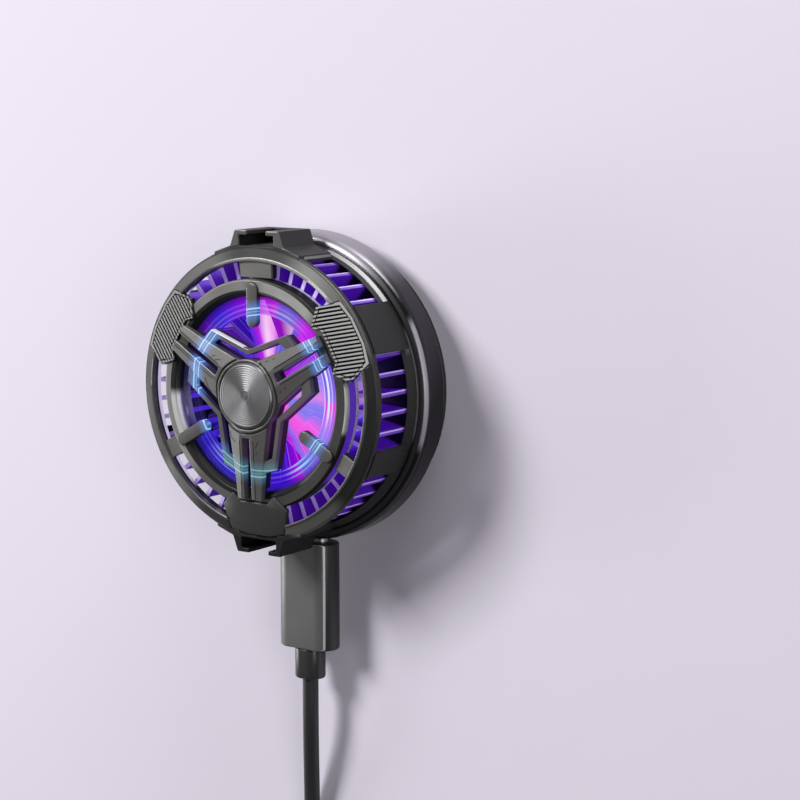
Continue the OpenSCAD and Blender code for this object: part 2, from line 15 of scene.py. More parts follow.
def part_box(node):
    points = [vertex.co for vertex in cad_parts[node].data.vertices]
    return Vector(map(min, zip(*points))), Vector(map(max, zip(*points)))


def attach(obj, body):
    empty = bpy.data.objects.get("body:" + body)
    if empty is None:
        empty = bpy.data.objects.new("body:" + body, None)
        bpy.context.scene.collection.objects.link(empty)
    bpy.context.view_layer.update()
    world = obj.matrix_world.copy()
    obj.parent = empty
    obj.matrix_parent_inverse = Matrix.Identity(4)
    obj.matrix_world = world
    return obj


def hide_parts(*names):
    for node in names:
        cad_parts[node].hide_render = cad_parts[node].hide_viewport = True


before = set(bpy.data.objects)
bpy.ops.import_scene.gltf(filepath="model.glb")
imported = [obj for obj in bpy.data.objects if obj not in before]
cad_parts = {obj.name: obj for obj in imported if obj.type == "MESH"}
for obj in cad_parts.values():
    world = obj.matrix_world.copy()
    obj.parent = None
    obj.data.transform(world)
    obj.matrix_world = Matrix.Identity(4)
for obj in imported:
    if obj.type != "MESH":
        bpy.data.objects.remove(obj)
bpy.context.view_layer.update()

MM = 0.001
CREASE = 35.0
UP = Vector((0.0, 0.0, 1.0))
UNLIT = (0.0, 0.0, 0.0)
log = logging.getLogger("cooler")
Point = tuple[float, float, float]
Flat = tuple[float, float]
Line = tuple[float, float, float, float]
Value = Union["Sock", float, int, Sequence[float]]


class Body(Enum):
    """Rigid bodies of the part that pieces ride on."""

    HOUSING = "housing"
    ROTOR = "rotor"
    LEAD = "lead"


class Gloss(Enum):
    """Roughness of the black pieces."""

    POLISHED = 0.2
    MATT = 0.6


class Sock:
    """One output socket of a node tree, with arithmetic that adds math nodes."""

    def __init__(self, graph: "Graph", socket: bpy.types.NodeSocket) -> None:
        """Wraps an output socket of a graph."""
        self.graph = graph
        self.socket = socket

    def math(self, operation: str, *others: Value) -> "Sock":
        """Returns a math node's result, with this socket as its first operand."""
        return self.graph.add("ShaderNodeMath", {"operation": operation}, self, *others)

    def __add__(self, other: Value) -> "Sock":
        """Returns self + other."""
        return self.math("ADD", other)

    __radd__ = __add__

    def __sub__(self, other: Value) -> "Sock":
        """Returns self - other."""
        return self.math("SUBTRACT", other)

    def __rsub__(self, other: Value) -> "Sock":
        """Returns other - self."""
        return self.graph.add("ShaderNodeMath", {"operation": "SUBTRACT"}, other, self)

    def __mul__(self, other: Value) -> "Sock":
        """Returns self * other."""
        return self.math("MULTIPLY", other)

    __rmul__ = __mul__

    def __truediv__(self, other: Value) -> "Sock":
        """Returns self / other."""
        return self.math("DIVIDE", other)

    def __rtruediv__(self, other: Value) -> "Sock":
        """Returns other / self."""
        return self.graph.add("ShaderNodeMath", {"operation": "DIVIDE"}, other, self)

    def step(self, low: float, high: float) -> "Sock":
        """Returns 0 below low and 1 above high, with a smooth rise; where high is under low, it falls."""
        settings = {"interpolation_type": "SMOOTHSTEP", "clamp": True}
        return self.graph.add("ShaderNodeMapRange", settings, self, low, high, 0.0, 1.0)

    def band(self, centre: float, half: float, soft: float) -> "Sock":
        """Returns 1 within half of centre and 0 farther off, with edges as wide as soft."""
        return (self - centre).math("ABSOLUTE").step(half + soft, half)

    def between(self, limits: Flat, soft: float) -> "Sock":
        """Returns 1 between two limits and 0 outside them, with edges as wide as soft."""
        return self.band((limits[0] + limits[1]) / 2, (limits[1] - limits[0]) / 2, soft)

    def lines(self, lines: Sequence[Line]) -> "Sock":
        """Returns the sum of fine lines, each with a place, a half width, a soft edge and a strength."""
        return sum(self.band(place, half, soft) * strength for place, half, soft, strength in lines)


class Graph:
    """The node tree of one material."""

    def __init__(self, name: str) -> None:
        """Starts an empty material.

        Args:
            name: the material's name.
        """
        self.material = bpy.data.materials.new(name)
        self.material.use_nodes = True
        self.tree = self.material.node_tree
        self.tree.nodes.clear()
        self.place: Sock | None = None

    def add(self, kind: str, settings: dict[str, object] | None = None, *inputs: Value, out: int | str = 0,
            **named: Value) -> Sock:
        """Adds one node.

        Args:
            kind: the node's type name.
            settings: properties of the node.
            inputs: values or sockets for the first inputs, in order.
            out: the output to return.
            named: values or sockets for inputs by name, with _ for a space.

        Returns:
            The chosen output.
        """
        node = self.tree.nodes.new(kind)
        for key, value in (settings or {}).items():
            setattr(node, key, value)
        for index, value in enumerate(inputs):
            self.feed(node.inputs[index], value)
        for key, value in named.items():
            self.feed(node.inputs[key.replace("_", " ")], value)
        return Sock(self, node.outputs[out])

    def feed(self, socket: bpy.types.NodeSocket, value: Value) -> None:
        """Links or sets one input socket.

        Args:
            socket: the input.
            value: a socket to link, or a constant.
        """
        if isinstance(value, Sock):
            self.tree.links.new(value.socket, socket)
        else:
            socket.default_value = value

    def position(self) -> Sock:
        """Returns the point's place in the part's frame, in millimetres."""
        if self.place is None:
            raw = self.add("ShaderNodeTexCoord", None, out="Object")
            self.place = self.add("ShaderNodeVectorMath", {"operation": "SCALE"}, raw, Scale=1.0 / MM)
        return self.place

    def axes(self) -> tuple[Sock, Sock, Sock]:
        """Returns x, y and z of the place, in millimetres."""
        outputs = self.add("ShaderNodeSeparateXYZ", None, self.position()).socket.node.outputs
        return Sock(self, outputs[0]), Sock(self, outputs[1]), Sock(self, outputs[2])

    def radius(self, centre: Flat = (0.0, 0.0)) -> Sock:
        """Returns the distance in millimetres from an upright line.

        Args:
            centre: x and y of the line; the fan's axis by default.

        Returns:
            The distance.
        """
        x, y, _ = self.axes()
        across, along = x - centre[0], y - centre[1]
        return (across * across + along * along).math("SQRT")

    def angle(self) -> Sock:
        """Returns the angle about the fan's axis, in degrees."""
        x, y, _ = self.axes()
        return y.math("ARCTAN2", x) * math.degrees(1.0)

    def polar(self) -> tuple[Sock, Sock, Sock]:
        """Returns radius in millimetres, angle in degrees and height in millimetres about the fan's axis."""
        return self.radius(), self.angle(), self.axes()[2]

    def noise(self, scale: float, detail: float = 2.0, stretch: Point = (1.0, 1.0, 1.0)) -> Sock:
        """Returns noise from 0 to 1, from features per millimetre, octaves and factors on the axes."""
        at = self.add("ShaderNodeVectorMath", {"operation": "MULTIPLY"}, self.position(), stretch)
        return self.add("ShaderNodeTexNoise", None, at, Scale=scale, Detail=detail)

    def around(self, angle: Sock, stops: Sequence[tuple[float, Point]]) -> Sock:
        """Returns a colour that changes with an angle.

        Args:
            angle: the angle in degrees.
            stops: angles from -180 to 180 degrees, in rising order, and the linear colours there.

        Returns:
            The colour.
        """
        colour = self.add("ShaderNodeValToRGB", None, (angle / 360.0 + 0.5).math("FRACT"))
        elements = colour.socket.node.color_ramp.elements
        while len(elements) < len(stops):
            elements.new(0.5)
        for element, (turn, rgb) in zip(elements, stops):
            element.position = turn / 360.0 + 0.5
            element.color = (*rgb, 1.0)
        return colour

    def mix(self, factor: Value, first: Value, second: Value) -> Sock:
        """Returns a blend of two colours.

        Args:
            factor: 0 for the first, 1 for the second.
            first: a linear colour or a socket.
            second: a linear colour or a socket.

        Returns:
            The blend.
        """
        blend = self.add("ShaderNodeMix", {"data_type": "RGBA"}, factor, out=2)
        for index, colour in ((6, first), (7, second)):
            self.feed(blend.socket.node.inputs[index], colour if isinstance(colour, Sock) else (*colour, 1.0))
        return blend

    def bump(self, height: Sock, strength: float, distance: float) -> Sock:
        """Returns a normal bent by a height from 0 to 1, whose full depth is distance, in millimetres."""
        return self.add("ShaderNodeBump", None, Height=height, Strength=strength, Distance=distance * MM)

    def surface(self, **sockets: Value) -> bpy.types.Material:
        """Ends the material with one principled shader.

        Args:
            sockets: values or sockets for the shader's inputs by name, with _ for a space.

        Returns:
            The material.
        """
        shader = self.add("ShaderNodeBsdfPrincipled", None, **sockets)
        out = self.tree.nodes.new("ShaderNodeOutputMaterial")
        self.tree.links.new(shader.socket, out.inputs["Surface"])
        return self.material


class Finish:
    """A finish that can be put on a piece."""

    def material(self) -> bpy.types.Material:
        """Returns the finish as a material."""
        raise NotImplementedError


@lru_cache(maxsize=None)
def paint(finish: Finish) -> bpy.types.Material:
    """Returns a finish's material, which is made once."""
    return finish.material()


def shade(colour: Point, factor: float) -> Point:
    """Returns a colour made darker or lighter by a factor."""
    return tuple(min(1.0, factor * part) for part in colour)


@dataclass(frozen=True)
class Zone:
    """Part of a moulding toned by painted light and shade, bounded in radius, angle and height.

    Radii count from centre and angles from the fan's axis. A mirrored zone repeats across the x axis.
    The zone's edges are as wide as border in radius, soft in angle and fade in height. A zone flagged as
    metal is metal painted bright as a highlight, and rough is added to the roughness of any other.
    """

    gain: float
    radii: Flat = (0.0, 40.0)
    turns: Flat = (-400.0, 400.0)
    heights: Flat = (0.0, 40.0)
    soft: float = 8.0
    centre: Flat = (0.0, 0.0)
    painted_glint: bool = False
    rough: float = 0.0
    mirrored: bool = False
    border: float = 0.05
    fade: float = 0.05

    def weight(self, graph: Graph) -> Sock:
        """Returns 1 inside the zone and 0 outside it.

        Args:
            graph: the material's graph.

        Returns:
            The weight.
        """
        angle = graph.angle()
        if self.mirrored:
            angle = angle.math("ABSOLUTE")
        inside = graph.radius(self.centre).between(self.radii, self.border)
        inside *= angle.between(self.turns, self.soft)
        return inside * graph.axes()[2].between(self.heights, self.fade)


@dataclass(frozen=True)
class Glow:
    """Painted light that falls on a piece, given as emission by its place on the part."""

    def colour(self, graph: Graph) -> Sock:
        """Returns the light's colour over the surface."""
        raise NotImplementedError


@dataclass(frozen=True)
class Spill(Glow):
    """Light from behind a ring, on the foot of the ring's wall."""

    glow_tint: Point
    wall: Zone

    def colour(self, graph: Graph) -> Sock:
        """Returns the light's colour over the surface."""
        return graph.mix(self.wall.weight(graph), UNLIT, self.glow_tint)


@dataclass(frozen=True)
class Arcs(Glow):
    """Painted light on the spider's arms and the bars: thin arcs, a faint glow between them and a painted
    highlight on one edge.
    """

    centre: Flat = (2.55, 0.65)
    radius: float = 15.3
    floor: float = 23.9
    lines: tuple[Line, ...] = ((-0.72, 0.04, 0.14, 0.8), (0.5, 0.06, 0.18, 0.8), (-0.1, 0.02, 0.1, 0.4))
    glow_span: Flat = (-0.6, 0.4)
    teal: Flat = (-8.0, -13.0)
    edge_x: Flat = (-8.6, -1.4)
    edge_turn: float = 69.95
    edge_off: float = 8.165
    edge_z: float = 23.55
    edge_light: Point = (0.52, 0.52, 0.62)

    def colour(self, graph: Graph) -> Sock:
        """Returns the arcs' colour over the surface.

        Args:
            graph: the material's graph.

        Returns:
            The emission colour.
        """
        x, y, z = graph.axes()
        off = graph.radius(self.centre) - self.radius
        # Painted glow between the arcs, blue, and teal on the lower arm, with painted arcs of light over it.
        low = y.step(*self.teal)
        glow_wash = graph.mix(low, (0.03, 0.12, 0.4), (0.015, 0.1, 0.14))
        bright = graph.mix(off.lines(self.lines), glow_wash, graph.mix(low, (0.45, 0.75, 1.0), (0.2, 0.45, 0.5)))
        glow_tint = off.between(self.glow_span, 2.2) * z.step(self.floor - 0.3, self.floor + 0.2)
        # Painted highlight along one wing edge of the left arm.
        turn = math.radians(self.edge_turn)
        edge = (x * math.cos(turn) + y * math.sin(turn)).band(self.edge_off, 0.12, 0.06)
        edge *= x.between(self.edge_x, 0.5) * z.step(self.edge_z, self.edge_z + 0.2)
        return graph.mix(edge, graph.mix(glow_tint, UNLIT, bright), self.edge_light)


@dataclass(frozen=True)
class Aura(Glow):
    """Colours that the lights throw into the fan's mouth: deep blue, purple, pink and pale lilac by angle."""

    level: float = 1.0
    streak: Point = (0.9, 0.6, 1.0)

    def colour(self, graph: Graph) -> Sock:
        """Returns the light's colour over the surface.

        Args:
            graph: the material's graph.

        Returns:
            The emission colour.
        """
        angle = graph.angle()
        wobble = graph.noise(0.1, 1.0) * 8.0 - 4.0
        stops = (
            (-180, (0.01, 0.004, 0.1)), (-160, (0.02, 0.006, 0.25)), (-136, (0.02, 0.006, 0.7)),
            (-100, (0.05, 0.004, 0.6)), (-84, (0.06, 0.002, 0.65)), (-74, (0.4, 0.0, 0.7)),
            (-66, (0.55, 0.01, 0.8)), (-64, (0.16, 0.14, 0.85)), (-52, (0.9, 0.1, 0.85)),
            (-40, (1.0, 0.12, 0.85)), (-28, (0.24, 0.2, 0.95)), (-12, (0.3, 0.22, 0.95)),
            (-4, (0.8, 0.26, 0.9)), (10, (0.35, 0.28, 1.0)), (44, (0.35, 0.0, 0.75)), (60, (0.7, 0.0, 0.85)),
            (70, (0.1, 0.06, 0.7)), (83, (0.14, 0.1, 0.8)), (86, (0.9, 0.2, 0.9)), (98, (1.0, 0.65, 0.95)),
            (108, (0.55, 0.01, 0.8)), (122, (0.1, 0.0, 0.7)), (140, (0.03, 0.005, 0.6)),
            (154, (0.15, 0.01, 0.5)), (180, (0.01, 0.004, 0.1)),
        )
        hue = graph.around(angle + wobble, [(turn, shade(rgb, self.level)) for turn, rgb in stops])
        streaks = graph.add("ShaderNodeTexNoise", {"noise_dimensions": "1D"}, W=angle * 0.2, Detail=2.0)
        return graph.mix(streaks.step(0.58, 0.75) * 0.35, hue, shade(self.streak, self.level))


@dataclass(frozen=True)
class Satin(Finish):
    """Satin paint or moulded plastic with a fine grain and an uneven sheen."""

    name: str
    colour: Point
    rough: float = 0.42
    metal: float = 0.0
    grain: float = 5.0
    depth: float = 0.012
    glow: Glow | None = None
    contrast: float = 0.2
    patch: float = 0.14
    uneven: float = 0.14

    def start(self) -> tuple[Graph, dict[str, Value]]:
        """Returns a new graph and the shader's inputs by name, with _ for a space."""
        graph = Graph(self.name)
        fine = graph.noise(self.grain, 3.0)
        broad = graph.noise(self.patch, 2.0)
        dark, pale = shade(self.colour, 1.0 - self.contrast), shade(self.colour, 1.0 + self.contrast)
        inputs = {
            "Base_Color": graph.mix(fine * 0.6 + broad * 0.4, dark, pale),
            "Roughness": (broad - 0.5) * self.uneven + self.rough,
            "Metallic": self.metal,
            "Normal": graph.bump(fine, 0.4, self.depth),
        }
        if self.glow is not None:
            inputs["Emission_Color"] = self.glow.colour(graph)
            inputs["Emission_Strength"] = 1.0
        return graph, inputs

    def material(self) -> bpy.types.Material:
        """Returns the finish as a material."""
        graph, inputs = self.start()
        return graph.surface(**inputs)


@dataclass(frozen=True)
class Moulding(Satin):
    """Satin moulding with painted shade under a height and below a line, and zones of painted light, shade
    and highlight.
    """

    dark_under: float = 0.0
    dark_past: float | None = None
    zones: tuple[Zone, ...] = ()
    # Factor of the painted shade under the height and below the line.
    black: float = 0.16
    fade: float = 0.3
    matt: float = 0.2
    brush: Flat = (0.7, 1.3)
    low_metal: float = 0.85
    # Colour, metalness and roughness of the metal painted bright as a highlight.
    glint_colour: Point = (1.0, 1.0, 1.01)
    glint_metal: float = 0.7
    glint_rough: float = 0.12

    def material(self) -> bpy.types.Material:
        """Returns the finish as a material."""
        graph, inputs = self.start()
        _, y, z = graph.axes()
        # Painted shade: the colour goes dark, and the reflection dim, under a height and past a line at the
        # bottom.
        front = z.step(self.dark_under - self.fade, self.dark_under)
        metal = self.metal
        if self.dark_past is not None:
            low = y.step(-self.dark_past, -self.dark_past - 1.0)
            front *= 1.0 - low
            metal = low * (self.low_metal - self.metal) + self.metal
        matt = (1.0 - front) * self.matt
        rough = inputs["Roughness"] + matt
        tone = graph.mix(front, shade(self.colour, self.black), inputs["Base_Color"])
        brushed = graph.noise(1.2, 2.0, (0.1, 0.1, 6.0))
        # Zones of painted light and shade, and of metal painted bright as a highlight.
        for zone in self.zones:
            weight = zone.weight(graph)
            colour = shade(self.glint_colour if zone.painted_glint else self.colour, zone.gain)
            varied = graph.mix(brushed, shade(colour, self.brush[0]), shade(colour, self.brush[1]))
            tone = graph.mix(weight, tone, varied)
            if zone.painted_glint:
                rough += weight * (self.glint_rough - matt)
                metal = weight * (self.glint_metal - self.metal) + metal
            elif zone.rough:
                rough += weight * zone.rough
        inputs |= {"Base_Color": tone, "Roughness": rough, "Metallic": metal}
        return graph.surface(**inputs)


def gunmetal(name: str, **fields: object) -> Moulding:
    """Returns the grey metallic finish of a front moulding, with further fields of Moulding."""
    return Moulding(f"gunmetal_{name}", (0.12, 0.118, 0.113), 0.36, 0.3, **fields)


@dataclass(frozen=True)
class Ribbed(Satin):
    """Satin pads at the upper left and right, tilted outwards, with pale ribs over grooves of painted shade;
    the right pad painted lighter than the left.
    """

    turn: float = 30.0
    edge: Flat = (27.1, 22.3)
    tilt: float = 11.6
    deep: float = 0.5
    pitch: float = 0.72
    lean: float = 19.0
    middle: float = 23.3
    open_under: float = 25.2
    # Factors of the painted shade on the left pad and the painted light on the right pad.
    gains: Flat = (0.75, 1.7)
    # Factor of the painted shade in the grooves.
    groove: float = 0.05

    def material(self) -> bpy.types.Material:
        """Returns the finish as a material."""
        graph, inputs = self.start()
        x, y, z = graph.axes()
        turn, tilt, lean = math.radians(self.turn), math.radians(self.tilt), math.radians(self.lean)
        aside = x.math("ABSOLUTE")
        out = aside * math.cos(turn) + y * math.sin(turn)
        side = (y * math.cos(turn) - aside * math.sin(turn)) * x.math("SIGN")
        height = (out - self.edge[0]) * math.sin(tilt) + (z - self.edge[1]) * math.cos(tilt)
        wave = ((out - self.middle) * math.sin(lean) + side * math.cos(lean)) * (math.tau / self.pitch)
        rim = out.step(self.open_under - 0.3, self.open_under)
        # Painted shade in the grooves between the ribs; the rim stays pale.
        crest = height.step(-0.7 * self.deep, -0.2 * self.deep)
        crest *= wave.math("COSINE").step(-0.2, 0.2).math("MAXIMUM", rim)
        # Painted light and shade: the right pad's ribs lighter, the left pad's darker.
        left, right = shade(self.colour, self.gains[0]), shade(self.colour, self.gains[1])
        pale = graph.mix(0.7, inputs["Base_Color"], graph.mix(x.step(-5.0, 5.0), left, right))
        inputs["Base_Color"] = graph.mix(crest, shade(self.colour, self.groove), pale)
        return graph.surface(**inputs)


@dataclass(frozen=True)
class Faced(Satin):
    """Satin moulding with a pale front and flanks in painted shade that meet in a painted highlight line on
    the right.
    """

    brow: float = 0.72
    # Factor of the painted shade on the flanks, and colour of the painted highlight line.
    flank: float = 0.22
    bright: Point = (0.7, 0.7, 0.71)

    def material(self) -> bpy.types.Material:
        """Returns the finish as a material."""
        graph, inputs = self.start()
        normal = graph.add("ShaderNodeNewGeometry", None, out="Normal")
        facing = graph.add("ShaderNodeSeparateXYZ", None, normal, out=2)
        # Painted shade on the flanks, and a painted highlight line along their edge on the right.
        flank = facing.step(self.brow + 0.02, self.brow - 0.02)
        line = facing.band(self.brow + 0.03, 0.03, 0.03) * graph.axes()[0].step(0.0, 1.0)
        tone = graph.mix(flank, inputs["Base_Color"], shade(self.colour, self.flank))
        inputs["Base_Color"] = graph.mix(line, tone, self.bright)
        return graph.surface(**inputs)


@dataclass(frozen=True)
class LitFan(Finish):
    """Dark frosted plastic that glows with painted light from around the mouth and clears on the left."""

    name: str = "lit_fan"
    clear: Flat = (-0.7, -0.92)

    def material(self) -> bpy.types.Material:
        """Returns the finish as a material."""
        graph = Graph(self.name)
        fine = graph.noise(3.0, 2.0)
        tone = graph.mix(fine, (0.02, 0.012, 0.06), (0.04, 0.025, 0.1))
        left = (graph.axes()[0] / graph.radius()).step(*self.clear)
        return graph.surface(Base_Color=tone, Roughness=fine * 0.2 + 0.25, Normal=graph.bump(fine, 0.3, 0.01),
                             Alpha=1.0 - left * 0.85, Specular_IOR_Level=0.2, Emission_Strength=0.9,
                             Emission_Color=Aura().colour(graph))


@dataclass(frozen=True)
class FinPurple(Finish):
    """Purple anodised aluminium with pale cut edges, painted shade at its foot and a painted glow, lit by the
    mouth at its inner end.
    """

    name: str = "fin_purple"
    count: int = 45
    first: float = 3.0
    inner: float = 18.9
    outer: float = 26.4
    top: float = 19.2
    foot: float = 9.6
    pale: Point = (0.72, 0.62, 0.88)
    gap: Flat = (128.0, 156.0)
    left: Flat = (-0.98, -0.9)

    def material(self) -> bpy.types.Material:
        """Returns the finish as a material."""
        graph = Graph(self.name)
        radius, angle, z = graph.polar()
        grain = graph.noise(2.0, 3.0, (1.0, 1.0, 0.15))
        turn = ((angle - self.first) * (self.count / 360.0) + 0.5).math("FRACT") - 0.5
        across = turn * radius * (math.tau / self.count)
        rise = z.step(self.foot + 0.1, self.foot + 2.0)
        crest = z.step(self.top - 0.16, self.top - 0.04)
        rim = radius.step(self.outer - 0.16, self.outer - 0.04) * rise
        # Pale cut edges, with a painted highlight on one side of each fin's outer edge.
        edge = crest * 0.95 + rim * (across.step(0.05, 0.25) * 0.7 + 0.1)
        purple = graph.mix(grain, (0.05, 0.006, 0.27), (0.09, 0.014, 0.42))
        # Painted shade: the fins go near black at their foot.
        tone = graph.mix(edge, graph.mix(rise, (0.004, 0.001, 0.02), purple), self.pale)
        # Painted purple glow on the fins, brighter on their edges.
        own = graph.mix(rise, UNLIT, graph.mix(edge, (0.022, 0.002, 0.11), (0.12, 0.07, 0.25)))
        near = radius.step(self.inner + 2.2, self.inner) * rise
        glow = graph.mix(near, own, (0.06, 0.015, 0.5))
        reach = radius - angle.between(self.gap, 8.0) * 2.0
        mouth = reach.step(self.inner - 0.1, self.inner - 0.5) * (graph.axes()[0] / radius).step(*self.left)
        glow = graph.mix(mouth, glow, Aura(0.6).colour(graph))
        return graph.surface(Base_Color=tone, Roughness=grain * 0.2 + 0.3, Metallic=0.35,
                             Normal=graph.bump(grain, 0.3, 0.02), Emission_Color=glow, Emission_Strength=1.0)


@dataclass(frozen=True)
class ClearRing(Finish):
    """Clear moulding that carries light in fine circles, in colours that change around it.

    Each stop has an angle, a colour and how much the colour veils what lies behind.
    """

    name: str = "clear_ring"
    inner: float = 15.0
    circles: tuple[Line, ...] = ((0.2, 0.05, 0.14, 1.0), (1.1, 0.1, 0.16, 1.0), (2.0, 0.04, 0.14, 0.6))
    right: Flat = (-6.0, 22.0)
    top: Flat = (60.0, 76.0)
    low: Flat = (-54.0, -38.0)
    left: Flat = (-126.0, -106.0)

    def material(self) -> bpy.types.Material:
        """Returns the finish as a material."""
        graph = Graph(self.name)
        radius, angle, _ = graph.polar()
        off = radius - self.inner
        swell = graph.noise(0.12, 1.0)
        stops = (
            (-180, (0.03, 0.015, 0.3), 0.08), (-158, (0.03, 0.015, 0.3), 0.1),
            (-146, (0.02, 0.005, 0.5), 0.5), (-120, (0.02, 0.005, 0.6), 0.7),
            (-96, (0.04, 0.005, 0.5), 0.6), (-68, (0.05, 0.0, 0.65), 0.7),
            (-57, (0.4, 0.0, 0.7), 0.6), (-53, (0.08, 0.07, 0.7), 0.6), (-34, (0.08, 0.1, 0.6), 0.7),
            (-24, (0.3, 0.2, 0.9), 0.7), (-3, (0.85, 0.03, 0.8), 0.8), (0, (0.25, 0.14, 0.9), 0.8),
            (22, (0.16, 0.06, 0.8), 0.8), (40, (0.5, 0.0, 0.75), 0.8), (52, (0.55, 0.0, 0.8), 0.75),
            (62, (0.1, 0.05, 0.65), 0.7), (75, (0.12, 0.07, 0.7), 0.65), (77, (0.65, 0.02, 0.85), 0.5),
            (96, (0.35, 0.0, 0.8), 0.6), (112, (0.14, 0.0, 0.7), 0.85), (124, (0.04, 0.004, 0.65), 0.95),
            (140, (0.09, 0.0, 0.35), 0.9), (156, (0.03, 0.01, 0.25), 0.3), (168, (0.03, 0.015, 0.3), 0.08),
        )
        hue = graph.around(angle, [(turn, rgb) for turn, rgb, _ in stops])
        veil = graph.around(angle, [(turn, (share, share, share)) for turn, _, share in stops])
        low = angle.between(self.low, 18.0)
        others = angle.between(self.left, 16.0) * 0.5 + angle.between(self.top, 14.0) * 0.4
        share = (angle.between(self.right, 20.0) + low * 0.8 + others + 0.1) * swell.step(0.2, 0.5)
        lines = (off.lines(self.circles) * share).math("MINIMUM", 1.0)
        # Painted shadow of the mouth's wall: the light dims at the ring's outer border.
        border = off.step(2.0, 3.6) * 0.6
        glow = graph.mix(lines, hue, graph.mix(low, (0.75, 0.82, 1.0), (0.35, 0.8, 1.0)))
        glow = graph.mix(border, glow, (0.01, 0.004, 0.04))
        return graph.surface(Base_Color=(0.02, 0.02, 0.05, 1.0), Roughness=swell * 0.1 + 0.1,
                             Alpha=veil.math("MAXIMUM", lines), Specular_IOR_Level=0.15, Emission_Color=glow,
                             Emission_Strength=0.95)


@dataclass(frozen=True)
class Polished(Finish):
    """Black polished metal turned around the fan's axis, with a painted broad sheen, a painted highlight on
    its edge, a thin painted highlight line and a matt foot darkened as painted shade.

    The sheen and the edge's turn are a middle and a half width in degrees, the edge a height and a width.
    """

    name: str
    dark: Point
    bright: Point
    rough: float = 0.14
    sheen: Flat = (81.0, 40.0)
    edge: Flat = (9.0, 0.45)
    edge_turn: Flat = (5.0, 27.0)
    foot: float = 2.4
    brim: float = 9.35
    line_r: float = 27.95

    def material(self) -> bpy.types.Material:
        """Returns the finish as a material."""
        graph = Graph(self.name)
        radius, angle, z = graph.polar()
        lines = graph.noise(1.0, 3.0, (0.1, 0.1, 6.0))
        smear = graph.noise(0.2, 2.0)
        (sheen, spread), (turn, reach), (height, width) = self.sheen, self.edge_turn, self.edge
        # Painted light and shade: a broad sheen by angle, a highlight on the edge, a thin highlight line on
        # the top, and a darker foot near the floor.
        fan = (angle + (lines - 0.5) * 16.0).band(sheen, 0.45 * spread, 0.55 * spread)
        glint = z.band(height, 0.5 * width, 0.5 * width) * angle.band(turn, 0.75 * reach, 0.25 * reach)
        brim = z.step(self.brim, self.brim + 0.15) * (1.0 - fan)
        line = radius.band(self.line_r, 0.17, 0.08) * angle.band(turn, 18.0, 6.0) * brim
        foot = z.step(self.foot + 0.6, self.foot)
        tone = graph.mix(fan, self.dark, self.bright)
        tone = graph.mix(glint, tone, shade(self.bright, 1.25))
        tone = graph.mix(foot, tone, shade(self.dark, 0.4))
        tone = graph.mix(line, tone, self.bright)
        rough = smear * 0.08 + fan * 0.2 + glint * 0.25 + foot * 0.4 + brim * 0.2 + (self.rough - 0.04)
        return graph.surface(Base_Color=tone, Roughness=rough, Normal=graph.bump(lines, 0.2, 0.004),
                             Metallic=0.8 - foot * 0.8 - brim * 0.5 - glint * 0.4)


@dataclass(frozen=True)
class Turned(Finish):
    """Metal turned on a lathe: fine rings, and a painted sheen that fans out from the middle."""

    name: str
    colour: Point
    pitch: float = 0.16
    sheen: float = 60.0

    def material(self) -> bpy.types.Material:
        """Returns the finish as a material."""
        graph = Graph(self.name)
        radius, angle, _ = graph.polar()
        # Painted sheen: lighter and darker by angle, twice round.
        fan = ((angle - self.sheen) * math.radians(2.0)).math("COSINE") * 0.5 + 0.5
        rings = (radius * (math.tau / self.pitch)).math("SINE") * 0.5 + 0.5
        broken = graph.noise(0.6, 2.0) * 0.35 + rings * 0.4 + fan * 0.35
        tone = graph.mix(broken, shade(self.colour, 0.6), shade(self.colour, 1.25))
        return graph.surface(Base_Color=tone, Roughness=fan * 0.08 + 0.3, Metallic=0.75,
                             Normal=graph.bump(rings, 0.5, 0.012))


@dataclass(frozen=True)
class Brushed(Finish):
    """Bare metal brushed along one axis, with faint tarnish."""

    name: str
    colour: Point
    rough: float = 0.3
    stretch: Point = (0.2, 4.0, 4.0)

    def material(self) -> bpy.types.Material:
        """Returns the finish as a material."""
        graph = Graph(self.name)
        streaks = graph.noise(2.5, 3.0, self.stretch)
        stain = graph.noise(0.25, 2.0)
        tone = graph.mix(streaks * 0.5 + stain * 0.5, shade(self.colour, 0.72), shade(self.colour, 1.15))
        return graph.surface(Base_Color=tone, Roughness=(streaks - 0.5) * 0.2 + self.rough, Metallic=0.9,
                             Normal=graph.bump(streaks, 0.4, 0.01))


@dataclass(frozen=True)
class Board(Finish):
    """Printed board: lacquer over fine copper tracks."""

    name: str
    colour: Point
    track: Point

    def material(self) -> bpy.types.Material:
        """Returns the finish as a material."""
        graph = Graph(self.name)
        x, y, _ = graph.axes()
        lanes = (x * 7.0 + y * 2.0).math("SINE").step(0.5, 0.8) * graph.noise(0.5, 1.0).step(0.5, 0.56)
        tone = graph.mix(lanes, self.colour, self.track)
        normal = graph.bump(lanes, 0.5, 0.02)
        return graph.surface(Base_Color=tone, Roughness=lanes * 0.1 + 0.3, Normal=normal)


@dataclass(frozen=True)
class Wound(Finish):
    """Enamelled wire wound in close turns."""

    name: str = "wound_copper"
    wire: float = 0.16

    def material(self) -> bpy.types.Material:
        """Returns the finish as a material."""
        graph = Graph(self.name)
        turns = (graph.radius() * (math.tau / self.wire)).math("SINE") * 0.5 + 0.5
        tone = graph.mix(turns, (0.22, 0.07, 0.025), (0.6, 0.25, 0.1))
        return graph.surface(Base_Color=tone, Roughness=turns * 0.15 + 0.25, Metallic=0.8,
                             Normal=graph.bump(turns, 0.8, 0.06))


BLACK_SOFT = Satin("black_silicone", (0.02, 0.02, 0.021), Gloss.MATT.value, 0.0, 2.0)
STEEL = Brushed("steel", (0.55, 0.55, 0.56))


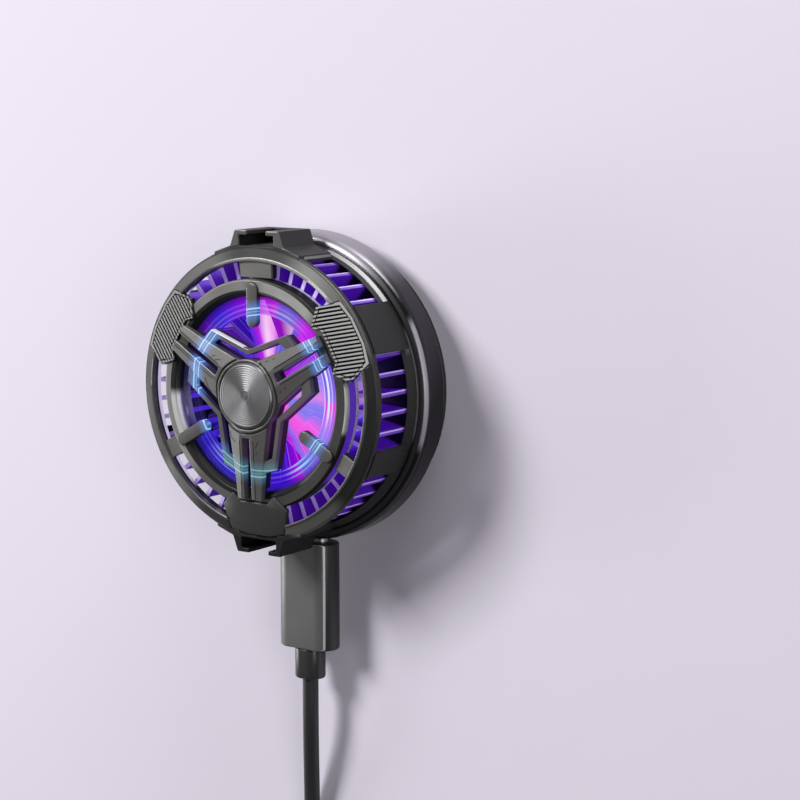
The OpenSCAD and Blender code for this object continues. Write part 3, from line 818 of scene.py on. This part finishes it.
def show(name: str, data: bpy.types.ID) -> bpy.types.Object:
    """Puts a new object into the scene.

    Args:
        name: the object's name.
        data: its mesh, curve, light or camera.

    Returns:
        The object.
    """
    item = bpy.data.objects.new(name, data)
    bpy.context.scene.collection.objects.link(item)
    return item


def dress(finish: Finish, *nodes: str) -> None:
    """Puts a finish on CAD nodes that keep their own shape.

    Args:
        finish: the finish.
        nodes: names of the nodes.
    """
    for name in nodes:
        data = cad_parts[name].data
        data.materials.clear()
        data.materials.append(paint(finish))
        log.info("dressed %s with %s", name, paint(finish).name)


def flatten(data: bpy.types.Mesh, crease: float = 8.0, turn: float = 40.0, small: float = 0.15) -> None:
    """Sets normals so that broad faces look flat and narrow roundings run smoothly from one to the next.

    Args:
        data: the mesh.
        crease: the angle in degrees up to which faces run into each other.
        turn: the angle in degrees up to which a small face takes the normal of a broad one.
        small: the share of the broad face's area under which a face counts as small.
    """
    around = [[] for _ in data.vertices]
    for face in data.polygons:
        for vertex in face.vertices:
            around[vertex].append((face.normal.copy(), face.area))
    near, far = math.cos(math.radians(crease)), math.cos(math.radians(turn))
    normals = []
    for face in data.polygons:
        for vertex in face.vertices:
            total = Vector()
            for normal, area in around[vertex]:
                if normal.dot(face.normal) > (far if face.area < small * area else near):
                    total += normal * area * area
            normals.append(total.normalized())
    data.normals_split_custom_set(normals)


def piece(name: str, mesh: bmesh.types.BMesh, finish: Finish, body: Body, slot: str, *nodes: str,
          crease: float | None = CREASE) -> bpy.types.Object:
    """Turns a mesh into a piece of the part.

    Args:
        name: the piece's name.
        mesh: its shape in metres; it is freed here.
        finish: its finish.
        body: the body that it rides on.
        slot: the record's material slot; not used.
        nodes: CAD nodes that it stands for.
        crease: the angle in degrees from which an edge stays sharp, or None for faces that look flat.

    Returns:
        The piece.
    """
    data = bpy.data.meshes.new(name)
    bmesh.ops.recalc_face_normals(mesh, faces=mesh.faces)
    mesh.to_mesh(data)
    mesh.free()
    data.shade_smooth()
    if crease is None:
        flatten(data)
    else:
        data.set_sharp_from_angle(angle=math.radians(crease))
    data.materials.append(paint(finish))
    item = show(name, data)
    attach(item, body.value)
    if nodes:
        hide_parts(*nodes)
    log.info("built %s: %d faces", name, len(data.polygons))
    return item


def rounded(node: str, width: float, steps: int = 2, full: bool = False) -> bmesh.types.BMesh:
    """Copies a CAD solid with its sharp edges rounded.

    Args:
        node: the CAD node.
        width: the rounding's width in millimetres.
        steps: faces across the rounding.
        full: whether the width is kept in full, and edges at small details are left out instead.

    Returns:
        The copy, in metres.
    """
    weld = 0.02 if full else 0.001
    sharp = math.radians(25.0)
    mesh = bmesh.new()
    mesh.from_mesh(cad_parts[node].data)
    bmesh.ops.remove_doubles(mesh, verts=mesh.verts, dist=weld * MM)
    if full:
        bmesh.ops.join_triangles(mesh, faces=mesh.faces, angle_face_threshold=math.radians(0.5),
                                 angle_shape_threshold=math.pi)
    else:
        bmesh.ops.dissolve_limit(mesh, angle_limit=math.radians(1.0), verts=mesh.verts, edges=mesh.edges)
    edges = [e for e in mesh.edges if e.is_manifold and e.calc_face_angle(0.0) > sharp]
    if full:
        room = 1.6 * width * MM
        crowded = {v for v in mesh.verts if min(e.calc_length() for e in v.link_edges) < room}
        edges = [e for e in edges if crowded.isdisjoint(e.verts)]
    bmesh.ops.bevel(mesh, geom=edges, offset=width * MM, segments=steps, profile=0.5, affect="EDGES",
                    clamp_overlap=not full)
    return mesh


def heading(turn: float) -> Vector:
    """Returns the level direction at an angle in degrees."""
    return Vector((math.cos(math.radians(turn)), math.sin(math.radians(turn)), 0.0))


def skin(mesh: bmesh.types.BMesh, rows: Sequence[Sequence[bmesh.types.BMVert]]) -> None:
    """Joins closed rows of points with faces, each row to the next.

    Args:
        mesh: the mesh of the points.
        rows: the rows, all equally long; one that repeats a single point makes a tip.
    """
    for low, high in zip(rows, rows[1:]):
        for i in range(len(low)):
            j = (i + 1) % len(low)
            mesh.faces.new(dict.fromkeys((low[i], low[j], high[j], high[i])))


def lathe(profile: Sequence[Flat], sides: int) -> bmesh.types.BMesh:
    """Turns a profile about the fan's axis.

    Args:
        profile: radius and height of its points, in millimetres, from the foot's middle to the top's middle.
        sides: faces around.

    Returns:
        The closed solid, in metres.
    """
    mesh = bmesh.new()
    rings = []
    for radius, height in profile:
        turns = [360.0 * i / sides for i in range(sides if radius else 1)]
        ring = [mesh.verts.new((heading(turn) * radius + UP * height) * MM) for turn in turns]
        rings.append(ring if radius else ring * sides)
    skin(mesh, rings)
    return mesh


def bar(mesh: bmesh.types.BMesh, line: Sequence[Point], width: float, depth: float) -> None:
    """Adds a thin bar that follows a line on a face that looks up.

    Args:
        mesh: the mesh that it is added to.
        line: its middle line on the face, in millimetres.
        width: its width.
        depth: how far it reaches under the face; it stands a little proud.
    """
    proud, taper = 0.03, 0.6
    rows = []
    for i, at in enumerate(line):
        along = Vector(line[min(i + 1, len(line) - 1)]) - Vector(line[max(i - 1, 0)])
        side = Vector((-along.y, along.x, 0.0)).normalized() * width / 2
        foot, top = Vector(at) - UP * depth, Vector(at) + UP * proud
        corners = (foot - side, foot + side, top + side * taper, top - side * taper)
        rows.append([mesh.verts.new(corner * MM) for corner in corners])
    skin(mesh, rows)
    mesh.faces.new(rows[0])
    mesh.faces.new(rows[-1])


@dataclass
class Studio:
    """Camera, floor and lights."""

    eye: Point = (261.055, 60.084, 353.032)
    aim: Point = (12.0, -3.7, -7.7)
    lens: float = 101.763
    sensor: float = 36.0
    reach: float = 1.2
    sky: Point = (0.9, 0.88, 0.95)
    sky_level: float = 0.08

    def build(self) -> None:
        """Makes the camera, the floor and the lights."""
        self.camera()
        self.floor()
        self.light("key", (-620.0, 640.0, 900.0), (0.0, 0.0, 12.0), (420.0, 420.0), 14.5)
        self.light("top", (200.0, 670.0, 110.0), (0.0, 0.0, 10.0), (420.0, 280.0), 2.8)
        self.light("side", (-600.0, -80.0, 160.0), (0.0, 0.0, 10.0), (240.0, 240.0), 1.4)
        self.light("strip", (640.0, 60.0, 480.0), (0.0, -20.0, 10.0), (420.0, 260.0), 1.4)
        world = bpy.data.worlds.new("studio_world")
        bpy.context.scene.world = world
        world.use_nodes = True
        world.node_tree.nodes["Background"].inputs[0].default_value = (*self.sky, 1.0)
        world.node_tree.nodes["Background"].inputs[1].default_value = self.sky_level
        bpy.context.scene.view_settings.view_transform = "Standard"

    def camera(self) -> None:
        """Makes the camera at the photograph's viewpoint."""
        data = bpy.data.cameras.new("camera")
        data.lens = self.lens
        data.sensor_width = self.sensor
        data.clip_start = 0.01
        data.clip_end = 10.0
        item = show("camera", data)
        bpy.context.scene.camera = item
        back = (Vector(self.eye) - Vector(self.aim)).normalized()
        right = Vector((0.0, 1.0, 0.0)).cross(back).normalized()
        turn = Matrix((right, back.cross(right), back)).transposed().to_4x4()
        item.matrix_world = Matrix.Translation(Vector(self.eye) * MM) @ turn

    def floor(self) -> None:
        """Makes the pale floor."""
        mesh = bpy.data.meshes.new("floor")
        s = self.reach
        mesh.from_pydata([(-s, -s, 0), (s, -s, 0), (s, s, 0), (-s, s, 0)], [], [(0, 1, 2, 3)])
        pale = Satin("floor_pale", (0.76, 0.71, 0.82), 0.7, 0.0, 0.05, 0.002, contrast=0.01)
        mesh.materials.append(paint(pale))
        item = show("floor", mesh)

    def light(self, name: str, at: Point, aim: Point, size: Flat, power: float) -> None:
        """Makes one soft light.

        Args:
            name: the light's name.
            at: its place in millimetres.
            aim: where it points.
            size: its width and height in millimetres.
            power: its power in watts.
        """
        data = bpy.data.lights.new(name, "AREA")
        data.shape = "RECTANGLE"
        data.size = size[0] * MM
        data.size_y = size[1] * MM
        data.energy = power
        item = show(name, data)
        item.location = Vector(at) * MM
        item.rotation_euler = (Vector(aim) - Vector(at)).to_track_quat("-Z", "Y").to_euler()


@dataclass
class Lead:
    """USB lead: two plugs, and a cord whose spare length lies in a tied coil with the far plug on it."""

    cord_d: float = 3.2
    coil_y: float = -118.0
    coil_r: float = 27.0
    loops: int = 4
    turns: float = 7.0 + 5.0 / 12.0
    rise: float = 7.15
    spacing: float = 0.5
    straight: float = 4.0
    drift: float = 3.0
    tail_r: float = 12.0
    length: float = 986.0
    tie_turn: float = 240.0
    tie_w: float = 6.0
    tie_t: float = 0.36
    tie_hem: float = 0.12
    tie_corner: float = 1.5
    tie_foot: float = 0.4
    tie_low: float = 0.02
    tie_room: Point = (0.4, 0.5, 0.25)
    pitch: float = field(init=False)
    floor_z: float = field(init=False)
    exit: Point = field(init=False)
    plug_z: float = field(init=False)

    def __post_init__(self) -> None:
        """Takes the cord's ends from the CAD solids of the plugs."""
        self.pitch = self.cord_d + self.spacing
        self.floor_z = self.cord_d / 2 + 0.05
        low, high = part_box("strain_relief")
        self.exit = (0.0, low[1] / MM, (low[2] + high[2]) / 2 / MM)
        low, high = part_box("usb_a_overmould")
        self.plug_z = (low[2] + high[2]) / 2 / MM

    @staticmethod
    def ease(s: float) -> float:
        """Returns a smooth rise from 0 to 1 as s runs from 0 to 1."""
        s = min(1.0, max(0.0, s))
        return s * s * (3.0 - 2.0 * s)

    def coil_point(self, t: float) -> Vector:
        """Returns the coil's middle line after some turns: inwards on the floor, then outwards on top.

        Args:
            t: the number of turns.

        Returns:
            The point, in millimetres.
        """
        radius = self.coil_r - self.pitch * (self.loops - abs(t - self.loops))
        climb = self.ease((t - self.loops) * 2.0 + 0.5)
        climb += self.ease((t - self.rise) / (self.turns - self.rise))
        middle = Vector((self.coil_r - self.drift, self.coil_y, self.floor_z + self.pitch * climb))
        return middle + radius * heading(180.0 + 360.0 * t)

    def route(self, per_fall: int = 24, per_turn: int = 48, per_arc: int = 16) -> list[Vector]:
        """Returns the cord's middle line from the strain relief to the far plug.

        Args:
            per_fall: points from the strain relief down to the coil.
            per_turn: points in one turn of the coil.
            per_arc: points in the turn over the coil.

        Returns:
            The points, in millimetres.
        """
        start, end = self.exit[1] - self.straight, self.coil_y + 2.0 * self.straight
        drop = self.floor_z - self.exit[2]
        line = [Vector(self.exit), Vector((0.0, start, self.exit[2]))]
        for i in range(1, per_fall + 1):
            s = i / per_fall
            fall = self.ease(1.5 * s)
            line.append(Vector((-self.drift * fall, start + s * (end - start), self.exit[2] + drop * fall)))
        line += [self.coil_point(i / per_turn) for i in range(round(self.turns * per_turn) + 1)]
        off = 270.0 + 360.0 * (self.turns % 1.0)
        line += [line[-1] + self.straight * heading(off), line[-1] + 2 * self.straight * heading(off)]
        hub = line[-1] + self.tail_r * heading(off + 90.0)
        for i in range(1, per_arc + 1):
            s = i / per_arc
            lift = UP * (self.plug_z - hub.z) * self.ease(s)
            line.append(hub + self.tail_r * heading(off - 90.0 + s * (180.0 - off % 360.0)) + lift)
        line.append(line[-1] - Vector((self.straight, 0.0, 0.0)))
        return line

    def cord(self) -> bpy.types.Object:
        """Makes the cord as one smooth tube along its route.

        Returns:
            The cord.
        """
        curve = bpy.data.curves.new("cord", "CURVE")
        curve.dimensions = "3D"
        curve.bevel_depth = self.cord_d / 2 * MM
        curve.bevel_resolution = 5
        curve.use_fill_caps = True
        route = self.route()
        spline = curve.splines.new("POLY")
        spline.points.add(len(route) - 1)
        for point, at in zip(spline.points, route):
            point.co = (*(at * MM), 1.0)
        spline.use_smooth = True
        curve.materials.append(paint(Satin("cord_rubber", (0.025, 0.025, 0.027), 0.45, 0.0, 3.0)))
        cord = show("cord", curve)
        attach(cord, Body.LEAD.value)
        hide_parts("cord_lead", "cord_coil", "cord_tail")
        log.info("built %s: %d points", cord.name, len(route))
        return cord

    def build(self) -> None:
        """Makes the cord, its tie and the plugs."""
        cord = self.cord()
        grip = Faced("plug_grey", (0.16, 0.158, 0.155), 0.4, 0.2, 5.0, 0.004)
        relief = Satin("relief_black", (0.035, 0.035, 0.036), 0.3, 0.0, 5.0, 0.006)
        on_cord = [self.tie()]
        mouldings = (
            ("plug_grip", "usb_c_overmould", 0.5, 3, grip, "plug_grey", False),
            ("plug_relief", "strain_relief", 0.4, 3, relief, "relief_black", False),
            ("far_relief", "usb_a_relief", 0.3, 2, relief, "relief_black", True),
            ("far_grip", "usb_a_overmould", 0.5, 3, grip, "plug_grey", True),
        )
        for name, node, width, steps, finish, slot, far in mouldings:
            item = piece(name, rounded(node, width, steps), finish, Body.LEAD, slot, node)
            on_cord += [item] if far else []
        dress(Brushed("shell_bright", (0.7, 0.7, 0.71), 0.4), "usb_c_plug_shell", "usb_a_shell")
        dress(Satin("insert_white", (0.7, 0.7, 0.72), 0.4), "usb_a_tongue")
        on_cord += [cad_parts["usb_a_shell"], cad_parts["usb_a_tongue"]]

    def tie(self, per_corner: int = 6, strips: int = 8) -> bpy.types.Object:
        """Makes the strap that holds the coil: a flat band with two raised hems round all its turns.

        Args:
            per_corner: faces around each corner.
            strips: faces across the band.

        Returns:
            The strap.
        """
        within, beyond, above = self.tie_room
        inside = self.coil_r - self.pitch * self.loops - within + self.tie_corner
        outside = self.coil_r + self.cord_d / 2 + beyond - self.tie_corner
        top = self.floor_z + self.pitch + self.cord_d / 2 + above - self.tie_corner
        foot = self.tie_foot + self.tie_corner
        corners = ((outside, top, 0), (inside, top, 90), (inside, foot, 180), (outside, foot, 270))
        bends = [90 * i / per_corner for i in range(per_corner + 1)]
        loop = [(r, z, math.radians(first + bend)) for r, z, first in corners for bend in bends]
        middle = Vector((self.coil_r - self.drift, self.coil_y, 0.0))
        out, side = heading(self.tie_turn), heading(self.tie_turn + 90.0)
        mesh = bmesh.new()
        inner, outer = [], []
        for j in range(strips + 1):
            across = middle + side * (j / strips - 0.5) * self.tie_w
            hem = self.tie_hem if j in (1, strips - 1) else 0.0
            for rows, lift in ((inner, 0.0), (outer, self.tie_t + hem)):
                reach = self.tie_corner + lift
                rows.append([])
                for r, z, turn in loop:
                    level = max(self.tie_low, z + reach * math.sin(turn))
                    at = across + out * (r + reach * math.cos(turn)) + UP * level
                    rows[-1].append(mesh.verts.new(at * MM))
        skin(mesh, inner + outer[::-1] + inner[:1])
        weave = Satin("tie_black", (0.03, 0.03, 0.03), 0.7, 0.0, 6.0, 0.05)
        return piece("coil_tie", mesh, weave, Body.LEAD, "relief_black")


@dataclass
class Base:
    """Base with its contact face, magnets, cold plate, module and board."""

    dark: Point = (0.035, 0.034, 0.036)
    # Colour of the painted sheen and highlights on the black base.
    bright: Point = (0.34, 0.325, 0.355)

    def build(self) -> None:
        """Dresses the base's pieces."""
        dress(Polished("base_dark", self.dark, self.bright, Gloss.POLISHED.value), "base_shell")
        dress(BLACK_SOFT, "contact_pad", "usb_c_tongue")
        dress(Turned("cold_face", (0.7, 0.7, 0.71), 0.3), "cold_plate")
        dress(Brushed("magnet_nickel", (0.6, 0.6, 0.6), 0.25), "magnets")
        dress(STEEL, "yoke_ring", "sink_screws", "usb_c_receptacle")
        dress(Satin("module_ceramic", (0.8, 0.8, 0.78), 0.5, 0.0, 3.0), "peltier_module")
        dress(Satin("foam_grey", (0.1, 0.1, 0.105), 0.8, 0.0, 4.0, 0.06), "insulation_frame")
        dress(Board("board_green", (0.01, 0.09, 0.035), (0.03, 0.16, 0.06)), "control_board")


@dataclass
class Cooling:
    """Heat sink with its ring of fins."""

    edge: float = 0.07

    def build(self) -> None:
        """Makes the fin ring."""
        fins = rounded("heat_sink", self.edge, 1)
        piece("fin_ring", fins, FinPurple(), Body.HOUSING, "fin_purple", "heat_sink")


@dataclass
class Fan:
    """Lit fan and its motor."""

    edge: float = 0.12

    def build(self) -> None:
        """Makes the fan and dresses the motor."""
        piece("fan_wheel", rounded("impeller", self.edge), LitFan(), Body.ROTOR, "fan_pale", "impeller")
        dress(Satin("motor_black", (0.025, 0.025, 0.027), 0.45), "fan_base")
        dress(Board("motor_board", (0.01, 0.09, 0.035), (0.03, 0.16, 0.06)), "motor_board")
        dress(Brushed("lamination", (0.4, 0.4, 0.41), 0.35, (1.0, 1.0, 8.0)), "stator_core", "rotor_yoke")
        dress(Wound(), "stator_coils")
        dress(Brushed("bronze", (0.5, 0.32, 0.12), 0.35), "bearing_sleeve")
        dress(STEEL, "shaft", "shaft_clip")
        dress(Satin("ferrite", (0.05, 0.05, 0.052), 0.6, 0.2), "rotor_magnet")


@dataclass
class Front:
    """Front of the cooler: frame, rings, light ring, bars, spider, badge and pads."""

    badge_r: float = 6.3
    badge_rim: float = 0.4
    hub_r: float = 6.9
    spine_half: float = 1.6
    arm_fall: float = 3.4
    side_fall: float = 0.9 / 4.4
    roof: float = 0.15
    groove: float = 0.42
    groove_deep: float = 0.05
    middle_r: float = 1.2
    stroke_w: float = 0.24
    stroke_deep: float = 0.15
    badge_top: float = field(init=False)
    badge_foot: float = field(init=False)

    def __post_init__(self) -> None:
        """Takes the badge's heights from its CAD solid."""
        low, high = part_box("badge")
        self.badge_foot = low[2] / MM
        self.badge_top = high[2] / MM

    @staticmethod
    def rim() -> Moulding:
        """Returns the frame's finish, with painted light and shade on its ring and bridges and a painted
        highlight strip on its wall.
        """
        face, edge, brow = (25.75, 28.2), (27.35, 28.4), (21.5, 24.0)
        # Painted shade on the ring at the left, lower left, right and top, and on its outer edge at the left;
        # a painted highlight along its inner edge at the top; the bridges inside the ring painted lighter;
        # metal painted bright as a highlight strip on the wall.
        zones = (
            Zone(0.45, face, (158.0, 205.0), brow, rough=0.2),
            Zone(0.45, face, (-205.0, -150.0), brow, rough=0.2),
            Zone(0.3, face, (-118.0, -100.0), brow, 14.0),
            Zone(0.2, face, (-40.0, 14.0), brow, 10.0),
            Zone(0.15, face, (80.0, 98.0), brow, 24.0, rough=0.25),
            Zone(2.4, (24.9, 25.7), (50.0, 108.0), brow),
            Zone(1.7, (21.9, 24.8), heights=(21.9, 24.0)),
            Zone(0.5, edge, (112.0, 205.0), (19.5, 24.0), rough=0.4, mirrored=True),
            Zone(0.34, (27.5, 27.93), (24.0, 110.0), (10.1, 20.3), painted_glint=True),
        )
        # Painted light from behind on the foot of the slot's walls at the left.
        wall = Zone(1.0, (24.0, 25.35), (136.0, 230.0), (15.0, 21.3), mirrored=True, fade=0.15)
        light = Spill((0.5, 0.43, 0.62), wall)
        return gunmetal("rim", dark_under=22.0, dark_past=25.6, zones=zones, glow=light)

    @staticmethod
    def mouth() -> Moulding:
        """Returns the inner ring's finish: painted light and shade on its flat, painted shade on its lip and
        flank, and two painted highlights.
        """
        seen, lip, flat, flank = (-0.55, -0.14), (17.5, 19.75), (19.75, 21.6), (21.6, 24.0)
        front, deep = (23.0, 24.0), (18.0, 24.0)
        # Painted light on the flat at the left and upper right, painted shade on the flat at the right and on
        # the lip and flank, and metal painted bright as two highlights.
        zones = (
            Zone(2.1, flat, (98.0, 205.0), front, 10.0, seen),
            Zone(2.2, flat, (-205.0, -140.0), front, 14.0, seen),
            Zone(3.3, flat, (54.0, 82.0), front, 12.0, seen),
            Zone(0.5, flat, (-72.0, 10.0), front, 12.0, seen),
            Zone(0.1, lip, (98.0, 205.0), deep, 10.0, seen),
            Zone(0.1, lip, (-205.0, -60.0), deep, 10.0, seen),
            Zone(0.1, flank, (-85.0, 85.0), deep, 10.0, seen),
            Zone(0.6, lip, (-174.0, -152.0), (21.0, 24.0), 6.0, seen, painted_glint=True),
            Zone(0.5, (21.1, 22.0), (-13.0, 7.0), (22.6, 24.0), 4.0, painted_glint=True),
        )
        # Painted purple light on the foot of the ring's outer wall at the right.
        wall = Zone(1.0, (21.6, 40.0), (-40.0, 40.0), (15.0, 22.5), fade=0.15)
        return gunmetal("mouth", dark_under=23.05, zones=zones, glow=Spill((0.06, 0.012, 0.33), wall))

    def build(self) -> None:
        """Makes the front's pieces."""
        # Painted shade under the tops of the arms and bars, and painted light from Arcs.
        arms = gunmetal("arms", glow=Arcs(), dark_under=23.9)
        bars = gunmetal("bar", glow=Arcs(floor=22.4), dark_under=23.62)
        plain = Satin("pad_dark", (0.05, 0.05, 0.05), 0.45, 0.2, 4.0)
        mouldings = (
            ("front_rim", "front_frame", 0.2, 2, True, self.rim(), "frame_grey"),
            ("mouth_ring", "inner_ring", 0.2, 2, True, self.mouth(), "frame_grey"),
            ("light_bars", "pegs", 0.25, 3, False, bars, "frame_grey"),
            ("spider_arms", "spider", 0.15, 2, True, arms, "spider_grey"),
            ("plain_pad", "lower_pad", 0.2, 2, False, plain, "pad_dark"),
        )
        for name, node, width, steps, full, finish, slot in mouldings:
            crease = None if full else CREASE
            piece(name, rounded(node, width, steps, full), finish, Body.HOUSING, slot, node, crease=crease)
        dress(Ribbed("grip_grey", (0.28, 0.276, 0.27), 0.42, 0.2, 4.0), "grip_pads")
        dress(ClearRing(), "light_ring")
        dress(Board("board_white", (0.7, 0.7, 0.72), (0.5, 0.5, 0.52)), "led_board")
        dress(Satin("led_lens", (0.8, 0.8, 0.6), 0.2, 0.0, 3.0, 0.01, Aura()), "leds")
        self.badge()
        self.marks()

    def badge(self) -> None:
        """Makes the turned badge, with fine rings, a plain middle and a bevelled rim."""
        top, foot = self.badge_top, self.badge_foot
        radius = self.badge_r - self.badge_rim
        wall = [(self.badge_r, foot), (self.badge_r, top - self.badge_rim), (radius, top - 0.04)]
        profile = [(0.0, foot), *wall]
        while radius > self.middle_r:
            inner = radius - self.groove
            profile += [(radius - 0.08, top), (inner + 0.14, top), (inner, top - self.groove_deep)]
            radius = inner
        profile += [(0.7, top - self.groove_deep), (0.5, top - 0.02), (0.0, top)]
        metal = Turned("badge_metal", (0.22, 0.22, 0.225), self.groove / 2)
        piece("hub_badge", lathe(profile, 128), metal, Body.HOUSING, "badge_metal", "badge", crease=50.0)

    def on_arm(self, turn: int, u: float, v: float) -> Vector:
        """Returns a point on an arm's roof.

        Args:
            turn: the arm's angle in degrees.
            u: distance from the axis along the arm, in millimetres.
            v: distance to the left of the arm's middle.

        Returns:
            The point in the part's frame, in millimetres.
        """
        fall = (u - self.hub_r) * math.tan(math.radians(self.arm_fall))
        fall += max(0.0, abs(v) - self.spine_half) * self.side_fall
        return heading(turn) * u + heading(turn + 90.0) * v + UP * (self.badge_top - self.roof - fall)

    def marks(self) -> None:
        """Makes the short inlaid strokes on the arms."""
        strokes = {
            150: (((8.5, -2.5), (9.5, -1.9)), ((10.0, -2.4), (10.5, -2.0)), ((9.5, 4.0), (10.2, 3.7)),
                  ((10.0, 2.6), (8.5, 3.9), (7.4, 4.0))),
            30: (((5.4, 4.05), (6.3, 3.95)), ((7.2, 3.6), (8.0, 3.45)), ((9.0, 3.3), (9.5, 3.25)),
                 ((7.5, -2.9), (7.9, -2.5)), ((8.8, -2.8), (9.2, -2.4))),
            270: (((8.4, 2.6), (9.8, 2.0)), ((10.3, 2.3), (11.0, 2.1)),
                  ((9.0, -2.7), (8.0, -3.9), (6.9, -4.0))),
        }
        mesh = bmesh.new()
        for turn, lines in strokes.items():
            for line in lines:
                bar(mesh, [self.on_arm(turn, u, v) for u, v in line], self.stroke_w, self.stroke_deep)
        piece("arm_marks", mesh, Satin("mark_black", (0.012, 0.012, 0.012), 0.5), Body.HOUSING, "spider_grey")


def main() -> None:
    """Builds the scene."""
    logging.basicConfig(level=logging.INFO)
    Studio().build()
    for part in (Lead(), Base(), Cooling(), Fan(), Front()):
        part.build()
        log.info("finished the %s", type(part).__name__.lower())


if __name__ == "__main__":
    main()
